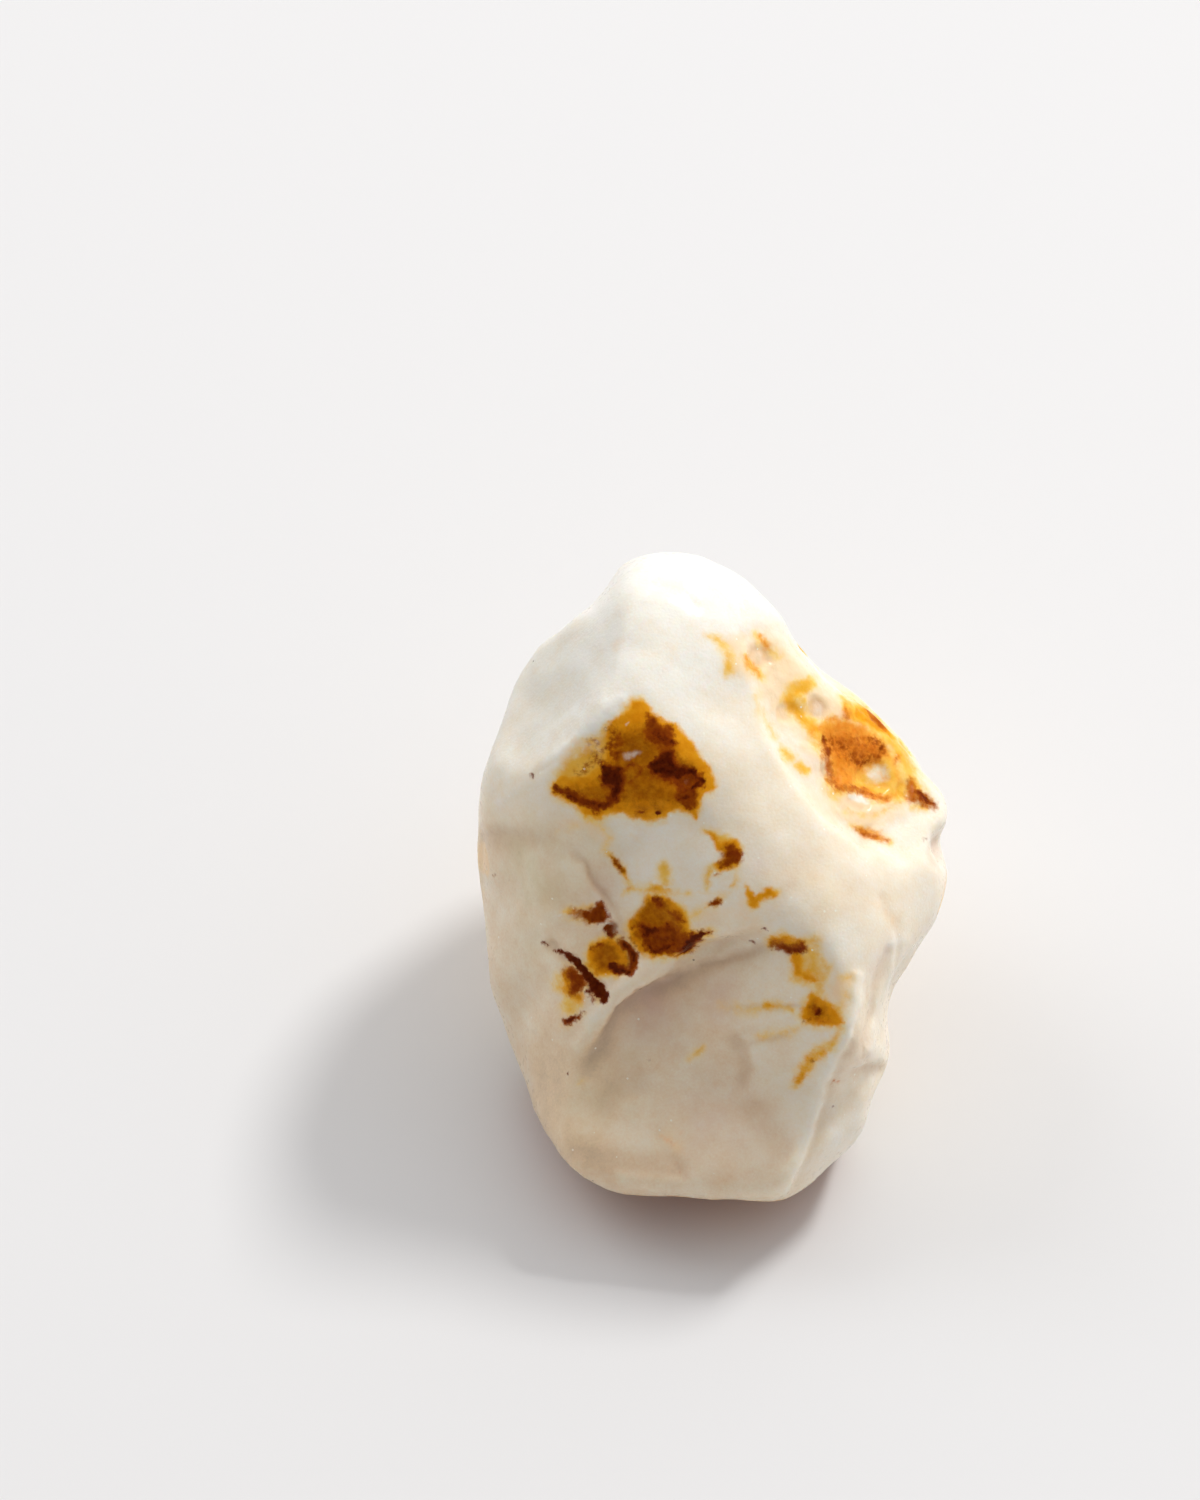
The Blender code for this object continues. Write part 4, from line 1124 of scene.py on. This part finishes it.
def makeFlecks():
    # scattered tiny specks: how big their cells are in mm, how large in the cell, and how many cells hold one
    group, given, out = newGroup(
        "tinyFlecks",
        (("Spacing", "NodeSocketFloat", 0.8), ("Reach", "NodeSocketFloat", 0.2), ("Share", "NodeSocketFloat", 0.1)),
        (("Mask", "NodeSocketFloat"),))
    cells = group.nodes.new("ShaderNodeTexVoronoi")
    group.links.new(stonePlace(group), cells.inputs["Vector"])
    group.links.new(mathNode(group, "DIVIDE", 1.0, given.outputs["Spacing"]), cells.inputs["Scale"])
    near = mathNode(group, "LESS_THAN", cells.outputs["Distance"], given.outputs["Reach"])
    chosen = group.nodes.new("ShaderNodeSeparateColor")
    group.links.new(cells.outputs["Color"], chosen.inputs["Color"])
    few = mathNode(group, "LESS_THAN", chosen.outputs["Red"], given.outputs["Share"])
    group.links.new(mathNode(group, "MULTIPLY", near, few), out.inputs["Mask"])
    return group


def makeSugarGrain():
    # the fine crystalline tooth of a broken opal face, as a height and as a sparkle mask
    group, given, out = newGroup(
        "sugarGrain", (("Size", "NodeSocketFloat", 0.25),),
        (("Height", "NodeSocketFloat"), ("Sparkle", "NodeSocketFloat")))
    scale = mathNode(group, "DIVIDE", 1.0, given.outputs["Size"])
    place = stonePlace(group)
    grain = noiseNode(group, scale, 3.0, 0.6)
    group.links.new(place, grain.inputs["Vector"])
    cells = group.nodes.new("ShaderNodeTexVoronoi")
    group.links.new(place, cells.inputs["Vector"])
    group.links.new(scale, cells.inputs["Scale"])
    tooth = mathNode(group, "MULTIPLY", cells.outputs["Distance"], 0.5)
    group.links.new(mathNode(group, "ADD", grain.outputs["Fac"], tooth), out.inputs["Height"])
    chosen = group.nodes.new("ShaderNodeSeparateColor")
    group.links.new(cells.outputs["Color"], chosen.inputs["Color"])
    few = mathNode(group, "GREATER_THAN", chosen.outputs["Green"], 0.93)
    group.links.new(few, out.inputs["Sparkle"])
    return group


def useGroup(tree, group, **values):
    node = tree.nodes.new("ShaderNodeGroup")
    node.node_tree = group
    for label, value in values.items():
        feed(tree, node.inputs[label], value)
    return node


def mixColours(tree, share, first, second):
    node = tree.nodes.new("ShaderNodeMix")
    node.data_type = "RGBA"
    for place, value in ((0, share), (6, first), (7, second)):      # the colour sockets of a Mix node
        feed(tree, node.inputs[place], value)
    return node.outputs[2]


def readLayer(tree, name):
    node = tree.nodes.new("ShaderNodeAttribute")
    node.attribute_name = name
    return node.outputs["Fac"]


def makeMilkyOpal():
    material = bpy.data.materials.new("milkyOpal")
    material.use_nodes = True
    tree = material.node_tree
    shader = tree.nodes["Principled BSDF"]
    stainEdge, cloud, flecks, sugar = makeStainEdge(), makeCloud(), makeFlecks(), makeSugarGrain()
    finish = opalFinish

    def patches(size, contrast, shift):
        return useGroup(tree, cloud, Size=size, Contrast=contrast, Shift=shift).outputs["Mask"]

    def times(first, second):
        return mathNode(tree, "MULTIPLY", first, second)

    def plus(first, second):
        return mathNode(tree, "ADD", first, second)

    def within(value, low, high):
        return mathNode(tree, "MINIMUM", mathNode(tree, "MAXIMUM", value, low), high)

    def speckled(key):
        return useGroup(tree, flecks, **finish[key][1]).outputs["Mask"], finish[key][0]

    # bare stone: dun to beige to cream to white by tone, which carries painted light and shade, clouded, with painted
    # highlight on ribs and painted shade in hollows
    paintedReliefShading = readLayer(tree, "paintedReliefShading")
    toneAndLight = plus(readLayer(tree, "toneAndLight"), times(paintedReliefShading, finish["ribLightHollowShade"]))
    for size, start, amount in finish["clouding"]:
        toneAndLight = plus(toneAndLight, times(plus(patches(size, 2.0, start), -0.5), amount))
    ramp = tree.nodes.new("ShaderNodeValToRGB")
    ramp.color_ramp.elements[0].color = finish["dun"]
    ramp.color_ramp.elements[1].color = finish["paleAndPaintedLight"]
    for place, key in ((0.3, "beige"), (0.6, "cream")):
        ramp.color_ramp.elements.new(place).color = finish[key]
    tree.links.new(toneAndLight, ramp.inputs["Fac"])
    colour = ramp.outputs["Color"]
    rate, most = finish["hollowing"]
    colour = mixColours(tree, within(times(paintedReliefShading, -rate), 0.0, most), colour, finish["hollow"])
    for key, amount in finish["washes"].items():
        colour = mixColours(tree, times(readLayer(tree, key + "Wash"), amount), colour, finish[key])

    # stains, from the faint ones to the dark ones, with painted glints and painted light laid by the pale paint; each
    # is paler at its edge than inside
    bare = 1.0
    byDepth, byMottling = finish["deeper"]
    for start, (name, (ragged, grainy, soft, cover, mottling, missing)) in enumerate(paintWays.items()):
        edge = useGroup(tree, stainEdge, Amount=readLayer(tree, name + "Stain"), Raggedness=ragged,
                        Grain=grainy, Softness=soft).outputs
        paint = finish[name]
        if name + "Deep" in finish:
            mottled = plus(patches(mottling, 3.0, 9.0 + 6.0 * start), -0.5)
            deep = within(plus(times(edge["Depth"], byDepth), times(mottled, byMottling)), 0.0, 1.0)
            paint = mixColours(tree, deep, paint, finish[name + "Deep"])
        laid = times(edge["Mask"], cover)
        if name in finish["redder"]:
            colour = mixColours(tree, laid, colour, finish["rustDeep"])
        if missing:
            laid = times(laid, plus(1.0, times(patches(finish["gapSize"], 3.0, 90.0 + start), -missing)))
        colour = mixColours(tree, laid, colour, paint)
        if name in finish["dulling"]:
            bare = times(bare, mathNode(tree, "SUBTRACT", 1.0, edge["Mask"]))
    colour = mixColours(tree, times(*speckled("specks")), colour, finish["fleck"])
    colour = mixColours(tree, times(times(*speckled("glints")), bare), colour, finish["glint"])
    tree.links.new(colour, shader.inputs["Base Color"])

    # gloss: waxy, with tiny sparkling faces
    grain = useGroup(tree, sugar, Size=finish["toothSize"])
    low, high = finish["roughness"]
    rough = plus(low, times(patches(finish["glossPatch"], 2.0, 51.0), high - low))
    rough = plus(rough, times(grain.outputs["Sparkle"], -finish["sparkle"]))
    tree.links.new(rough, shader.inputs["Roughness"])
    bump = tree.nodes.new("ShaderNodeBump")
    bump.inputs["Strength"].default_value = finish["bump"]
    bump.inputs["Distance"].default_value = finish["toothHeight"]
    tree.links.new(grain.outputs["Height"], bump.inputs["Height"])
    tree.links.new(bump.outputs["Normal"], shader.inputs["Normal"])
    shader.inputs["Specular IOR Level"].default_value = finish["gloss"]
    glossy, dull = finish["coat"]
    tree.links.new(plus(dull, times(bare, glossy - dull)), shader.inputs["Coat Weight"])
    shader.inputs["Coat Roughness"].default_value = finish["coatRoughness"]
    shader.inputs["Subsurface Weight"].default_value = finish["depthShare"]
    shader.inputs["Subsurface Radius"].default_value = finish["depthColour"]
    shader.inputs["Subsurface Scale"].default_value = finish["depth"]
    return material


stone.data.materials.clear()
stone.data.materials.append(makeMilkyOpal())
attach(stone, "root")
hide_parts("opal")
print("stage: opal finished")
